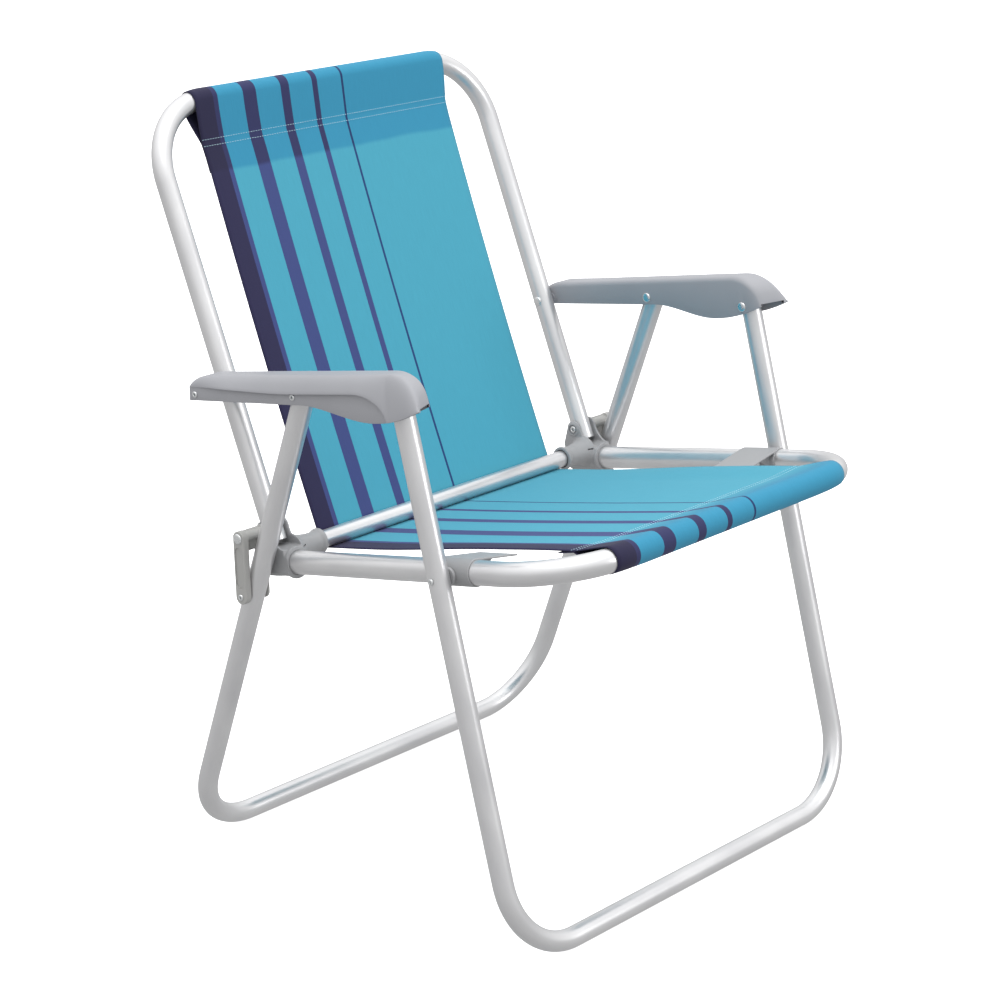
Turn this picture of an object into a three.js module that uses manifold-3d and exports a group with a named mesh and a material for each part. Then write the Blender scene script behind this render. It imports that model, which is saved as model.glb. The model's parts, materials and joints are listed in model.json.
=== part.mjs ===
// Folding lawn chair: four bent aluminium tube frames, grey moulded hinge parts and arms,
// and a cloth sling hung between the top bar of the back and the front bar of the seat.
// Millimetres, +Z up. The sitter faces -Y and the floor is Z = 0.
import * as THREE from 'three';
import { mergeVertices } from 'three/addons/utils/BufferGeometryUtils.js';
import Module from 'manifold-3d';

const wasm = await Module();
wasm.setup();

// Tubes, by outside diameter
const FRAME_TUBE = 22.2;
const SEAT_TUBE = 25.4;
const CROSSBAR_TUBE = 19;
const TUBE_WALL = 1.2;
const TUBE_SIDES = 16;
const BEND_STEPS = 6;

// Running clearance between two pieces
const GAP = 0.35;

// The seat and the hinge line. The hinge is the pivot of the back on the seat.
const RAIL_X = 251.5;
const HINGE_HEIGHT = 382;
const RAIL_DROP = 36.1;
const SEAT_DEPTH = 403;
const SEAT_RISE = 10.53;
const SEAT_BEND = 85;
const RAIL_END = 24;

// The back frame, measured up the back from the hinge
const BACK_HEIGHT = 454.6;
const BACK_LEAN = 22.69;
const BACK_BEND = 78;
const BACK_STUB = 14.4;
const ARM_HEIGHT = 155.6;

// The leg frames. The front bar stands ahead of the arm's tip, the rear bar behind the hinge.
// Pivot lengths are from the floor bar's axis.
const FRONT_FLOOR = 116.48;
const FRONT_LEAN = 15.47;
const FRONT_PIVOT = 569.5;
const REAR_FLOOR = 107.7;
const REAR_LEAN = 19.65;
const REAR_PIVOT = 571.3;
const LEG_BEND = 84;
const LEG_STUB = 12;
const FRONT_PIVOT_PLAY = 4.2;

// The link from the hinge to the rear leg
const LINK_LENGTH = 63.9;
const LINK_RADIUS = 8;
const LINK_INNER_PLATE = 3.1;
const LINK_OUTER_PLATE = 8.3;
const LINK_BARREL = 9;
const LINK_RIM = 2;
const LINK_RECESS = 1.2;

// The moulded hinge connector
const EAR_WALL = 3.2;
const EAR_RADIUS = 10;
const EAR_FRONT = 27;
const EAR_REAR = 17.5;
const EAR_WAIST = 15.5;
const SOCKET_WALL = 2.4;
const SOCKET_FRONT = 31;
const SOCKET_RING = 1.2;
const SOCKET_RING_RUN = 9;
const HINGE_COLLAR = 1.2;
const CROSSBAR_AHEAD = 10.2;
const CROSSBAR_ABOVE = 9.7;
const CROSSBAR_SOCKET = 39;
const CROSSBAR_SEAT = 30;

// The saddle on each seat rail, where the front leg pivots
const SADDLE_WALL = 2;
const SADDLE_FRONT = 31;
const SADDLE_REAR = 24;
const WING_REACH = 62;
const WING_DROP = 11;
const WING_WALL = 2.2;
const WING_TIP = 3;
const BUSH_RADIUS = 9;

// The armrest, in its own slope: lengths forward of its rear pivot, heights above it
const ARM_RISE = 10.3;
const ARM_REAR = 9.5;
const ARM_REAR_ROUND = 22;
const ARM_REAR_FALL = 8;
const ARM_LENGTH = 320;
const ARM_SLANT = 16;
const ARM_NOSE_ROUND = 14;
const ARM_TOP = 18.5;
const ARM_WALL = 2.4;
const ARM_BOSS = 1.2;
const ARM_BOSS_RADIUS = 7;
const ARM_SPACE = 3.8;
const ARM_OVERHANG = 3.5;
const ARM_OVERHANG_RUN = 60;
const ARM_SHOULDER = 14;
const ARM_INNER_ROUND = 6;
// Its skirt and the lip over it: heights from the pivot above or below, lengths from the nearest pivot
const SKIRT_REAR = -6.5;
const SKIRT_DROP = 8.1;
const BELLY_DROP = 12.4;
const BELLY_START = 4;
const BELLY_END = 23;
const LIP_REAR = 7.5;
const LIP_RUN = 4;
const LIP_ABOVE = 3.4;
const LIP_EDGE = 0.6;
const VISOR_LIP_START = 49;
const VISOR_LIP_END = 4;
// The visor in front of the front pivot
const VISOR_FOOT = 20;
const VISOR_START = 1;
const VISOR_TIP = -13;
const VISOR_DEPTH = 4.5;
const VISOR_RIM = 1.5;

// Rivets
const HINGE_RIVET = 6;
const PIVOT_RIVET = 5;
const RIVET_HEAD = 1.8;
const RIVET_EYE = 1.4;
const RIVET_DOME = 2;
const RIVET_HOLLOW = 0.55;
const RIVET_SIDES = 12;

// Screws that keep the crossbar in its sockets
const SCREW = 3.2;
const SCREW_LENGTH = 12;
const SCREW_INSET = 5;

// The sling
const CLOTH = 1.2;
const CLOTH_HALF = 188;
const SLEEVE_HALF = 190;
const BACK_HEM = 40;
const SEAT_HEM = 30;
const SEAT_SEAM_DROP = 3.5;
const SEAT_SAG = 1.5;
const BACK_SAG = 3;
const SLING_SPLIT = 0.18;

const radians = THREE.MathUtils.degToRad;
const facetSpread = 1 / Math.cos(Math.PI / TUBE_SIDES);
const frameReach = (FRAME_TUBE / 2) * facetSpread;
const railReach = (SEAT_TUBE / 2) * facetSpread;
const crossbarReach = (CROSSBAR_TUBE / 2) * facetSpread;

// The stack of pieces across the chair, from a seat rail outwards to the arm
const earInside = RAIL_X + frameReach + GAP;
const earOutside = RAIL_X + Math.max(frameReach + GAP + EAR_WALL, railReach + GAP + TUBE_WALL);
const linkInside = earOutside + GAP;
const legInside = linkInside + LINK_INNER_PLATE + GAP;
const LEG_X = legInside + frameReach;
const legOutside = LEG_X + frameReach;
const linkOuterFace = legOutside + GAP + LINK_OUTER_PLATE;
const armInside = earInside + ARM_BOSS;
const armSkirt = legOutside + ARM_SPACE + ARM_WALL;
const armOutside = armSkirt + ARM_OVERHANG;

const ALUMINIUM = { color: 0xd6d8da, metalness: 0.9, roughness: 0.35 };
const MOULDED_GREY = { color: 0x9c9da1, metalness: 0, roughness: 0.6 };
const RIVET_STEEL = { color: 0xc4c8ca, metalness: 0.9, roughness: 0.3 };
const TURQUOISE_CLOTH = { color: 0x45a8c8, metalness: 0, roughness: 0.9 };

// Solids

function weld(geometry) {
  const plain = new THREE.BufferGeometry();
  plain.setAttribute('position', geometry.attributes.position.clone());
  if (geometry.index) plain.setIndex(geometry.index.clone());
  const merged = mergeVertices(plain, 1e-4);
  const corners = merged.index.array;
  const kept = [];
  for (let i = 0; i < corners.length; i += 3) {
    const [a, b, c] = [corners[i], corners[i + 1], corners[i + 2]];
    if (a !== b && b !== c && c !== a) kept.push(a, b, c);
  }
  merged.setIndex(kept);
  return merged;
}

function toSolid(geometry) {
  const welded = weld(geometry);
  return new wasm.Manifold(new wasm.Mesh({
    numProp: 3,
    vertProperties: new Float32Array(welded.attributes.position.array),
    triVerts: new Uint32Array(welded.index.array),
  }));
}

function toGeometry(solid) {
  const mesh = solid.getMesh();
  const geometry = new THREE.BufferGeometry();
  geometry.setAttribute('position', new THREE.BufferAttribute(new Float32Array(mesh.vertProperties), 3));
  geometry.setIndex(new THREE.BufferAttribute(new Uint32Array(mesh.triVerts), 1));
  geometry.computeVertexNormals();
  return geometry;
}

function join(...geometries) {
  return geometries.map(toSolid).reduce((all, next) => all.add(next));
}

// A copy on the other side of the chair's middle plane
function mirrored(geometry) {
  const copy = weld(geometry);
  copy.scale(-1, 1, 1);
  const corners = copy.index.array;
  for (let i = 0; i < corners.length; i += 3) {
    [corners[i + 1], corners[i + 2]] = [corners[i + 2], corners[i + 1]];
  }
  copy.computeVertexNormals();
  return copy;
}

// Shapes

// An outline in the (y, z) plane, pushed out across the chair from x0 to x1
function across(outline, x0, x1, curveSegments = 12) {
  const push = { depth: x1 - x0, bevelEnabled: false, curveSegments };
  const geometry = new THREE.ExtrudeGeometry(outline, push);
  const turn = new THREE.Matrix4().makeBasis(
    new THREE.Vector3(0, 1, 0),
    new THREE.Vector3(0, 0, 1),
    new THREE.Vector3(1, 0, 0),
  );
  return geometry.applyMatrix4(turn).translate(x0, 0, 0);
}

// An outline in the (x, z) plane, pushed back along the chair from y0 to y1
function along(outline, y0, y1, curveSegments = 12) {
  const push = { depth: y1 - y0, bevelEnabled: false, curveSegments };
  const geometry = new THREE.ExtrudeGeometry(outline, push);
  return geometry.rotateX(Math.PI / 2).translate(0, y1, 0);
}

function disc(a, b, radius) {
  const shape = new THREE.Shape();
  shape.absarc(a, b, radius, 0, 2 * Math.PI);
  return shape;
}

// A straight-sided outline with round ends, about two points at z = 0 and z = -reach
function roundEnded(reach, radius) {
  const shape = new THREE.Shape();
  shape.absarc(0, 0, radius, 0, Math.PI);
  shape.absarc(0, -reach, radius, Math.PI, 2 * Math.PI);
  return shape;
}

function outline(points) {
  return new THREE.Shape(points.map(([a, b]) => new THREE.Vector2(a, b)));
}

// A band of even thickness along a line of (y, z) points
function band(points, thickness) {
  const line = points.map(([a, b]) => new THREE.Vector2(a, b));
  const offset = (i, side) => {
    const before = line[Math.max(i - 1, 0)];
    const after = line[Math.min(i + 1, line.length - 1)];
    const run = after.clone().sub(before).normalize();
    return new THREE.Vector2(-run.y, run.x).multiplyScalar(side * thickness / 2).add(line[i]);
  };
  const left = line.map((_, i) => offset(i, 1));
  const right = line.map((_, i) => offset(i, -1));
  return new THREE.Shape([...left, ...right.reverse()]);
}

// A closed skin over rings of equally many points
function loft(rings) {
  const count = rings[0].length;
  const positions = rings.flat().flatMap((p) => [p.x, p.y, p.z]);
  const faces = [];
  for (let r = 0; r + 1 < rings.length; r += 1) {
    for (let i = 0; i < count; i += 1) {
      const a = r * count + i;
      const b = r * count + ((i + 1) % count);
      faces.push(a, b, a + count, b, b + count, a + count);
    }
  }
  const flat = (ring) => ring.map((p) => new THREE.Vector2(p.x, p.z));
  const last = (rings.length - 1) * count;
  for (const [a, b, c] of THREE.ShapeUtils.triangulateShape(flat(rings[0]), [])) faces.push(a, c, b);
  for (const [a, b, c] of THREE.ShapeUtils.triangulateShape(flat(rings.at(-1)), [])) {
    faces.push(last + a, last + b, last + c);
  }
  const geometry = new THREE.BufferGeometry();
  geometry.setAttribute('position', new THREE.Float32BufferAttribute(positions, 3));
  geometry.setIndex(faces);
  return geometry;
}

// A path given by its stations, so that a tube has rings only where it needs them
class StationPath extends THREE.Curve {
  constructor(stations) {
    super();
    this.stations = stations;
  }

  at(u) {
    return this.stations[Math.round(u * (this.stations.length - 1))];
  }

  getPoint(u, target = new THREE.Vector3()) {
    return target.copy(this.at(u).point);
  }

  getPointAt(u, target = new THREE.Vector3()) {
    return this.getPoint(u, target);
  }

  getTangent(u, target = new THREE.Vector3()) {
    return target.copy(this.at(u).tangent);
  }

  getTangentAt(u, target = new THREE.Vector3()) {
    return this.getTangent(u, target);
  }
}

// One bend of a bow from its leg (turned = 0) to its bar (turned = 90 degrees), on side -1 or +1
function bendStation(side, half, bend, turned) {
  const x = side * (half - bend + bend * Math.cos(turned));
  const y = bend - bend * Math.sin(turned);
  const point = new THREE.Vector3(x, y, 0);
  const tangent = new THREE.Vector3(Math.sin(turned), side * Math.cos(turned), 0);
  return { point, tangent };
}

// A U-shaped path: a bar on y = 0 between two legs that run to y = reach
function bowPath(half, reach, bend) {
  const steps = Array.from({ length: BEND_STEPS + 1 }, (_, i) => (i / BEND_STEPS) * (Math.PI / 2));
  const down = { point: new THREE.Vector3(-half, reach, 0), tangent: new THREE.Vector3(0, -1, 0) };
  const up = { point: new THREE.Vector3(half, reach, 0), tangent: new THREE.Vector3(0, 1, 0) };
  const first = steps.map((turned) => bendStation(-1, half, bend, turned));
  const second = steps.reverse().map((turned) => bendStation(1, half, bend, turned));
  return new StationPath([down, ...first, ...second, up]);
}

// A regular polygon round a circle, with one side facing the given direction
function ringOutline(radius, facing) {
  const corners = Array.from({ length: TUBE_SIDES }, (_, i) => {
    const angle = facing + ((i + 0.5) / TUBE_SIDES) * 2 * Math.PI;
    const reach = radius * facetSpread;
    return new THREE.Vector2(reach * Math.cos(angle), reach * Math.sin(angle));
  });
  return corners;
}

function sweep(path, radius, bore, facing = 0) {
  const section = new THREE.Shape(ringOutline(radius, facing));
  if (bore > 0) section.holes.push(new THREE.Path(ringOutline(bore, facing)));
  const steps = path.stations.length - 1;
  return new THREE.ExtrudeGeometry(section, { steps, extrudePath: path, bevelEnabled: false });
}

function straightTube(x0, x1, radius, bore) {
  const tangent = new THREE.Vector3(1, 0, 0);
  const ends = [x0, x1].map((x) => ({ point: new THREE.Vector3(x, 0, 0), tangent }));
  return sweep(new StationPath(ends), radius, bore);
}

// A round cutter across the chair
function drill(y, z, radius, x0, x1) {
  return toSolid(across(disc(y, z, radius), x0, x1, 8));
}

// The ends of a rivet by (radius, x), from its axis to its shank, at a face that looks to out = -1 or +1
function cutEnd(x, out, shank) {
  return [[0, x], [shank, x]];
}

function domedEnd(x, out, shank) {
  const head = shank * RIVET_HEAD;
  return [
    [0, x + out * RIVET_DOME],
    [head * 0.7, x + out * RIVET_DOME * 0.8],
    [head, x + out * GAP],
    [shank, x + out * GAP],
  ];
}

function eyeEnd(x, out, shank) {
  const [head, hollow] = [shank * RIVET_EYE, shank * RIVET_HOLLOW];
  return [
    [0, x + out * RIVET_DOME * 0.3],
    [hollow, x + out * RIVET_DOME * 0.3],
    [hollow * 1.1, x + out * RIVET_DOME * 0.8],
    [head * 0.8, x + out * RIVET_DOME * 0.7],
    [head, x + out * GAP],
    [shank, x + out * GAP],
  ];
}

// A rivet across the chair: a shank between two faces, with the given ends
function rivet(x0, x1, diameter, inner, outer) {
  const shank = diameter / 2;
  const points = [...inner(x0, -1, shank), ...outer(x1, 1, shank).reverse()];
  const profile = points.map(([radius, x]) => new THREE.Vector2(radius, x));
  return new THREE.LatheGeometry(profile, RIVET_SIDES).rotateZ(-Math.PI / 2);
}

// Places in the chair's side view, as (y, z) with the hinge at y = 0

const hinge = new THREE.Vector2(0, HINGE_HEIGHT);
const backUp = new THREE.Vector2(Math.sin(radians(BACK_LEAN)), Math.cos(radians(BACK_LEAN)));
const seatAhead = new THREE.Vector2(-Math.cos(radians(SEAT_RISE)), Math.sin(radians(SEAT_RISE)));
const seatDown = new THREE.Vector2(-Math.sin(radians(SEAT_RISE)), -Math.cos(radians(SEAT_RISE)));
const frontUp = new THREE.Vector2(Math.sin(radians(FRONT_LEAN)), Math.cos(radians(FRONT_LEAN)));
const rearUp = new THREE.Vector2(-Math.sin(radians(REAR_LEAN)), Math.cos(radians(REAR_LEAN)));

const from = (start, direction, distance) => start.clone().addScaledVector(direction, distance);

const railFoot = from(hinge, seatDown, RAIL_DROP);
const armPivot = from(hinge, backUp, ARM_HEIGHT);
const armTip = armPivot.x - ARM_LENGTH * Math.cos(radians(ARM_RISE));
const frontFloor = new THREE.Vector2(armTip - FRONT_FLOOR, FRAME_TUBE / 2);
const rearFloor = new THREE.Vector2(REAR_FLOOR, FRAME_TUBE / 2);
const frontTop = from(frontFloor, frontUp, FRONT_PIVOT);
const rearTop = from(rearFloor, rearUp, REAR_PIVOT);

// Where the front leg crosses the seat rail, as distances along each
const crossing = frontFloor.clone().sub(railFoot);
const spread = seatAhead.cross(frontUp);
const saddleAhead = crossing.cross(frontUp) / spread;
const saddleUp = crossing.cross(seatAhead) / spread;

// Where the link's lower end meets the rear leg, as a distance up the leg
const toHinge = hinge.clone().sub(rearFloor);
const hingeLevel = toHinge.dot(rearUp);
const hingeOffset = toHinge.cross(rearUp);
const linkUp = hingeLevel - Math.sqrt(LINK_LENGTH ** 2 - hingeOffset ** 2);
const linkEnd = from(rearFloor, rearUp, linkUp);

// A place in the side view, seen from a frame turned by an angle about its own origin
function seenFrom(place, origin, turn) {
  return place.clone().sub(origin).rotateAround(new THREE.Vector2(), -turn);
}

const seatTurn = -radians(SEAT_RISE);
const backTurn = -radians(BACK_LEAN);
const frontTurn = -radians(FRONT_LEAN);
const rearTurn = radians(REAR_LEAN);
const armTurn = -radians(ARM_RISE);
const linkTurn = hinge.clone().sub(linkEnd).angle() - Math.PI / 2;

// Tube frames

function legFrame(turn, length, holes) {
  const floorFacing = -Math.PI / 2 - turn;
  const path = bowPath(LEG_X, length + LEG_STUB, LEG_BEND);
  const tube = sweep(path, FRAME_TUBE / 2, FRAME_TUBE / 2 - TUBE_WALL, floorFacing);
  let solid = toSolid(tube.rotateX(Math.PI / 2));
  for (const [height, radius] of holes) {
    for (const side of [-1, 1]) {
      solid = solid.subtract(drill(0, height, radius, side * LEG_X - FRAME_TUBE, side * LEG_X + FRAME_TUBE));
    }
  }
  return toGeometry(solid);
}

function frontLegFrame() {
  const saddleHole = PIVOT_RIVET / 2 + GAP;
  const armHole = PIVOT_RIVET / 2 + FRONT_PIVOT_PLAY;
  return legFrame(frontTurn, FRONT_PIVOT, [[saddleUp, saddleHole], [FRONT_PIVOT, armHole]]);
}

function rearLegFrame() {
  const hole = PIVOT_RIVET / 2 + GAP;
  return legFrame(rearTurn, REAR_PIVOT, [[linkUp, hole], [REAR_PIVOT, hole]]);
}

function backFrame() {
  const path = bowPath(RAIL_X, BACK_HEIGHT + BACK_STUB, BACK_BEND);
  const tube = sweep(path, FRAME_TUBE / 2, FRAME_TUBE / 2 - TUBE_WALL).rotateX(-Math.PI / 2);
  let solid = toSolid(tube.translate(0, 0, BACK_HEIGHT));
  for (const side of [-1, 1]) {
    const [x0, x1] = [side * RAIL_X - FRAME_TUBE, side * RAIL_X + FRAME_TUBE];
    solid = solid.subtract(drill(0, 0, HINGE_RIVET / 2 + GAP, x0, x1));
    solid = solid.subtract(drill(0, ARM_HEIGHT, PIVOT_RIVET / 2 + GAP, x0, x1));
  }
  return toGeometry(solid);
}

function seatFrame() {
  const path = bowPath(RAIL_X, SEAT_DEPTH + RAIL_END - CROSSBAR_AHEAD, SEAT_BEND);
  let solid = toSolid(sweep(path, SEAT_TUBE / 2, SEAT_TUBE / 2 - TUBE_WALL).translate(0, -SEAT_DEPTH, 0));
  for (const side of [-1, 1]) {
    const [x0, x1] = [side * RAIL_X - SEAT_TUBE, side * RAIL_X + SEAT_TUBE];
    solid = solid.subtract(drill(-saddleAhead, 0, PIVOT_RIVET / 2 + GAP, x0, x1));
  }
  return toGeometry(solid);
}

// The crossbar runs between blind sockets in the two connectors
const earFace = RAIL_X - frameReach - GAP;
const crossbarEnd = earFace - EAR_WALL - CROSSBAR_SOCKET + CROSSBAR_SEAT;
const socketEnd = earFace - EAR_WALL - CROSSBAR_SOCKET;

function crossbar() {
  const tube = straightTube(-crossbarEnd, crossbarEnd, CROSSBAR_TUBE / 2, CROSSBAR_TUBE / 2 - TUBE_WALL);
  let solid = toSolid(tube);
  for (const side of [-1, 1]) {
    const hole = along(disc(side * (socketEnd - SCREW_INSET), 0, SCREW / 2 + GAP), 0, CROSSBAR_TUBE, 8);
    solid = solid.subtract(toSolid(hole.rotateX(-Math.PI / 2)));
  }
  return toGeometry(solid);
}

function crossbarScrew() {
  const head = SCREW * RIVET_HEAD * 0.5;
  const top = -crossbarReach - GAP;
  const profile = [
    [0, top - RIVET_DOME],
    [head * 0.6, top - RIVET_DOME],
    [head, top],
    [SCREW / 2, top],
    [SCREW / 2, top + SCREW_LENGTH - SCREW],
    [0, top + SCREW_LENGTH],
  ];
  const turned = new THREE.LatheGeometry(profile.map(([r, z]) => new THREE.Vector2(r, z)), RIVET_SIDES);
  return turned.rotateX(Math.PI / 2).translate(socketEnd - SCREW_INSET, 0, 0);
}

// Moulded parts, each made for the sitter's left (+X)

// A rod along Y whose mouth, at its start, has a ring that flares out
function flaredRod(radius, start, end) {
  const profile = [
    [0, start],
    [radius + SOCKET_RING, start],
    [radius + SOCKET_RING, start + SOCKET_RING_RUN * 0.35],
    [radius, start + SOCKET_RING_RUN],
    [radius, end],
    [0, end],
  ];
  return new THREE.LatheGeometry(profile.map(([r, y]) => new THREE.Vector2(r, y)), 20);
}

// In the seat's slope, with the hinge straight above the origin
function hingeConnector() {
  const railBore = railReach + GAP;
  const railOuter = railBore + SOCKET_WALL;
  const crossbarBore = crossbarReach + GAP;
  const crossbarOuter = crossbarBore + SOCKET_WALL;
  const earInner = earFace - EAR_WALL;
  const swing = Math.hypot(BACK_STUB, frameReach) + GAP;

  const ear = new THREE.Shape();
  ear.moveTo(-EAR_FRONT, 0);
  ear.lineTo(-EAR_FRONT, EAR_WAIST);
  ear.quadraticCurveTo(-EAR_RADIUS * 1.35, EAR_WAIST + 3, -EAR_RADIUS, RAIL_DROP);
  ear.absarc(0, RAIL_DROP, EAR_RADIUS, Math.PI, 0.1, true);
  ear.lineTo(EAR_REAR, RAIL_DROP - EAR_WAIST);
  ear.lineTo(EAR_REAR, 0);

  const floor = outline([
    [-EAR_FRONT, -railOuter * 0.6],
    [-EAR_FRONT, EAR_WAIST],
    [EAR_REAR, RAIL_DROP - EAR_WAIST],
    [EAR_REAR, -railOuter * 0.6],
  ]);
  const railLength = RAIL_END - CROSSBAR_AHEAD + GAP;
  const railSocket = flaredRod(railOuter, -SOCKET_FRONT, railLength + SOCKET_WALL).translate(RAIL_X, 0, 0);
  const crossbarSocket = flaredRod(crossbarOuter, socketEnd, earFace).rotateZ(-Math.PI / 2);
  const collar = disc(0, RAIL_DROP, EAR_RADIUS * 0.8);
  collar.holes.push(disc(0, RAIL_DROP, (HINGE_RIVET / 2) * RIVET_EYE + 2 * GAP));
  let solid = join(
    railSocket,
    crossbarSocket.translate(0, -CROSSBAR_AHEAD, CROSSBAR_ABOVE),
    across(collar, earInner - HINGE_COLLAR, earInner + GAP, 8),
    across(floor, earInner, earOutside),
    across(ear, earInner, earFace, 6),
    across(ear, earInside, earOutside, 6),
  );
  const railCut = toSolid(along(disc(RAIL_X, 0, railBore), -SOCKET_FRONT - 1, railLength, 12));
  const barCut = drill(-CROSSBAR_AHEAD, CROSSBAR_ABOVE, crossbarBore, socketEnd - 1, crossbarEnd + GAP);
  const pocket = toSolid(across(disc(0, RAIL_DROP, swing), earFace, earInside, 12));
  const beyond = outline([
    [-2 * SEAT_TUBE, -2 * SEAT_TUBE],
    [2 * SEAT_TUBE, -2 * SEAT_TUBE],
    [2 * SEAT_TUBE, 2 * SEAT_TUBE],
    [-2 * SEAT_TUBE, 2 * SEAT_TUBE],
  ]);
  solid = solid.subtract(railCut).subtract(barCut).subtract(pocket);
  solid = solid.subtract(toSolid(across(beyond, earOutside, earOutside + SEAT_TUBE)));
  return toGeometry(solid.subtract(drill(0, RAIL_DROP, HINGE_RIVET / 2 + GAP, earInner - 1, earOutside + 1)));
}

// In the seat's slope, with the front leg's pivot at the origin
function legSaddle() {
  const bore = railReach + GAP;
  const outer = bore + SADDLE_WALL;
  const root = RAIL_X - outer * 0.35;
  const tip = RAIL_X - WING_REACH;
  const wing = outline([
    [root, outer * 0.93],
    [root, outer * 0.93 - WING_WALL],
    [tip, outer * 0.93 - WING_DROP - WING_WALL],
    [tip, outer * 0.93 - WING_DROP],
  ]);
  const gusset = outline([
    [RAIL_X - outer * 0.5, outer * 0.6],
    [tip, outer * 0.93 - WING_DROP - WING_WALL / 2],
    [RAIL_X - outer * 0.8, -outer * 0.5],
  ]);
  const trim = new THREE.Shape();
  trim.moveTo(tip - 1, -SADDLE_FRONT - 1);
  trim.lineTo(RAIL_X - outer - 1, -SADDLE_FRONT - 1);
  trim.lineTo(tip + SADDLE_WALL, -SADDLE_FRONT + WING_TIP);
  trim.lineTo(tip - 1, -SADDLE_FRONT + WING_TIP);
  const cut = new THREE.ExtrudeGeometry(trim, { depth: 4 * outer, bevelEnabled: false });
  let solid = join(
    along(disc(RAIL_X, 0, outer), -SADDLE_FRONT, SADDLE_REAR, 10),
    along(wing, -SADDLE_FRONT, SADDLE_REAR),
    along(gusset, -SADDLE_FRONT + WING_TIP / 2, -SADDLE_FRONT + WING_TIP / 2 + WING_WALL),
    along(gusset, SADDLE_REAR - WING_WALL, SADDLE_REAR),
  );
  solid = solid.subtract(toSolid(along(disc(RAIL_X, 0, bore), -SADDLE_FRONT - 1, SADDLE_REAR + 1, 12)));
  solid = solid.subtract(toSolid(cut.translate(0, 0, -2 * outer)));
  const hole = drill(0, 0, PIVOT_RIVET / 2 + GAP, RAIL_X - outer - 1, RAIL_X + outer + 1);
  return toGeometry(solid.subtract(hole));
}

const saddleFace = RAIL_X + railReach + GAP + SADDLE_WALL;

function legBush() {
  const washer = disc(0, 0, BUSH_RADIUS);
  washer.holes.push(disc(0, 0, PIVOT_RIVET / 2 + GAP));
  return across(washer, saddleFace + GAP, legInside - GAP, 10);
}

// With the hinge at the origin and the link straight down
function linkYoke() {
  const plate = roundEnded(LINK_LENGTH, LINK_RADIUS);
  const outerStart = legOutside + GAP;
  let solid = join(
    across(plate, linkInside, linkInside + LINK_INNER_PLATE, 8),
    across(plate, outerStart, linkOuterFace, 8),
    across(disc(0, 0, LINK_BARREL), linkInside, outerStart + LINK_RECESS, 10),
  );
  const recess = outline([
    [-LINK_RADIUS + LINK_RIM, -LINK_RADIUS - LINK_RIM],
    [-LINK_RADIUS + LINK_RIM, LINK_RADIUS + LINK_RIM - LINK_LENGTH],
    [LINK_RADIUS - LINK_RIM, LINK_RADIUS + LINK_RIM - LINK_LENGTH],
    [LINK_RADIUS - LINK_RIM, -LINK_RADIUS - LINK_RIM],
  ]);
  solid = solid.subtract(toSolid(across(recess, linkOuterFace - LINK_RECESS, linkOuterFace + 1)));
  const [x0, x1] = [linkInside - 1, linkOuterFace + 1];
  solid = solid.subtract(drill(0, 0, HINGE_RIVET / 2 + GAP, x0, x1));
  return toGeometry(solid.subtract(drill(0, -LINK_LENGTH, PIVOT_RIVET / 2 + GAP, x0, x1)));
}

// The armrest's lines, by the distance ahead of its rear pivot

const ease = (value, start, end) => THREE.MathUtils.smoothstep(value, start, end);
const share = (value, start, end) => THREE.MathUtils.clamp((value - start) / (end - start), 0, 1);
const mix = THREE.MathUtils.lerp;

// The rear leg's pivot is in the middle of the arm
const armRearPlace = seenFrom(rearTop, armPivot, armTurn);
const armFrontPlace = seenFrom(frontTop, armPivot, armTurn);
const middleAhead = -armRearPlace.x;
const frontAhead = -armFrontPlace.x;
const visorStart = frontAhead + VISOR_START;
const bellyRun = [middleAhead + BELLY_START, frontAhead - BELLY_END];
const lipTurn = [frontAhead - VISOR_LIP_START, frontAhead - VISOR_LIP_END];

function armTop(ahead) {
  const rear = 1 - share(ahead, -ARM_REAR, ARM_REAR_ROUND - ARM_REAR);
  const front = share(ahead, visorStart, ARM_LENGTH);
  const crown = ARM_TOP - ARM_REAR_FALL * (1 - Math.sqrt(1 - rear ** 2));
  return VISOR_TIP + (crown - VISOR_TIP) * Math.sqrt(1 - front ** 2);
}

function armBottom(ahead) {
  const waist = armRearPlace.y - SKIRT_DROP;
  const belly = armFrontPlace.y - BELLY_DROP;
  const skirt = mix(SKIRT_REAR, waist, share(ahead, 0, middleAhead));
  const hanging = (belly - waist) * ease(ahead, ...bellyRun);
  const visor = share(ahead, frontAhead - VISOR_FOOT, ARM_LENGTH);
  return skirt + hanging + (VISOR_TIP - VISOR_DEPTH - belly) * visor ** 2;
}

function armLip(ahead) {
  const bottom = armBottom(ahead);
  const level = mix(LIP_REAR, armRearPlace.y + LIP_ABOVE, ease(ahead, -ARM_REAR, middleAhead + LIP_RUN));
  const lip = bottom + (level - bottom) * Math.sqrt(1 - share(ahead, ...lipTurn) ** 2);
  const highest = Math.max(armTop(ahead) - ARM_WALL, bottom + 2 * LIP_EDGE);
  return THREE.MathUtils.clamp(lip, bottom + LIP_EDGE, highest);
}

// A place on the arm's section. The nose narrows, and its inner side is shorter than its outer side.
const armCentre = (armInside + armOutside) / 2;
function armPoint(ahead, x, z) {
  const nose = share(ahead, ARM_LENGTH - ARM_NOSE_ROUND, ARM_LENGTH);
  const narrowed = armCentre + (x - armCentre) * Math.sqrt(1 - 0.3 * nose ** 2);
  const shorter = ARM_SLANT * (1 - share(x, armInside, armOutside)) * ease(ahead, middleAhead, visorStart);
  return new THREE.Vector3(narrowed, shorter - ahead, z);
}

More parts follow.
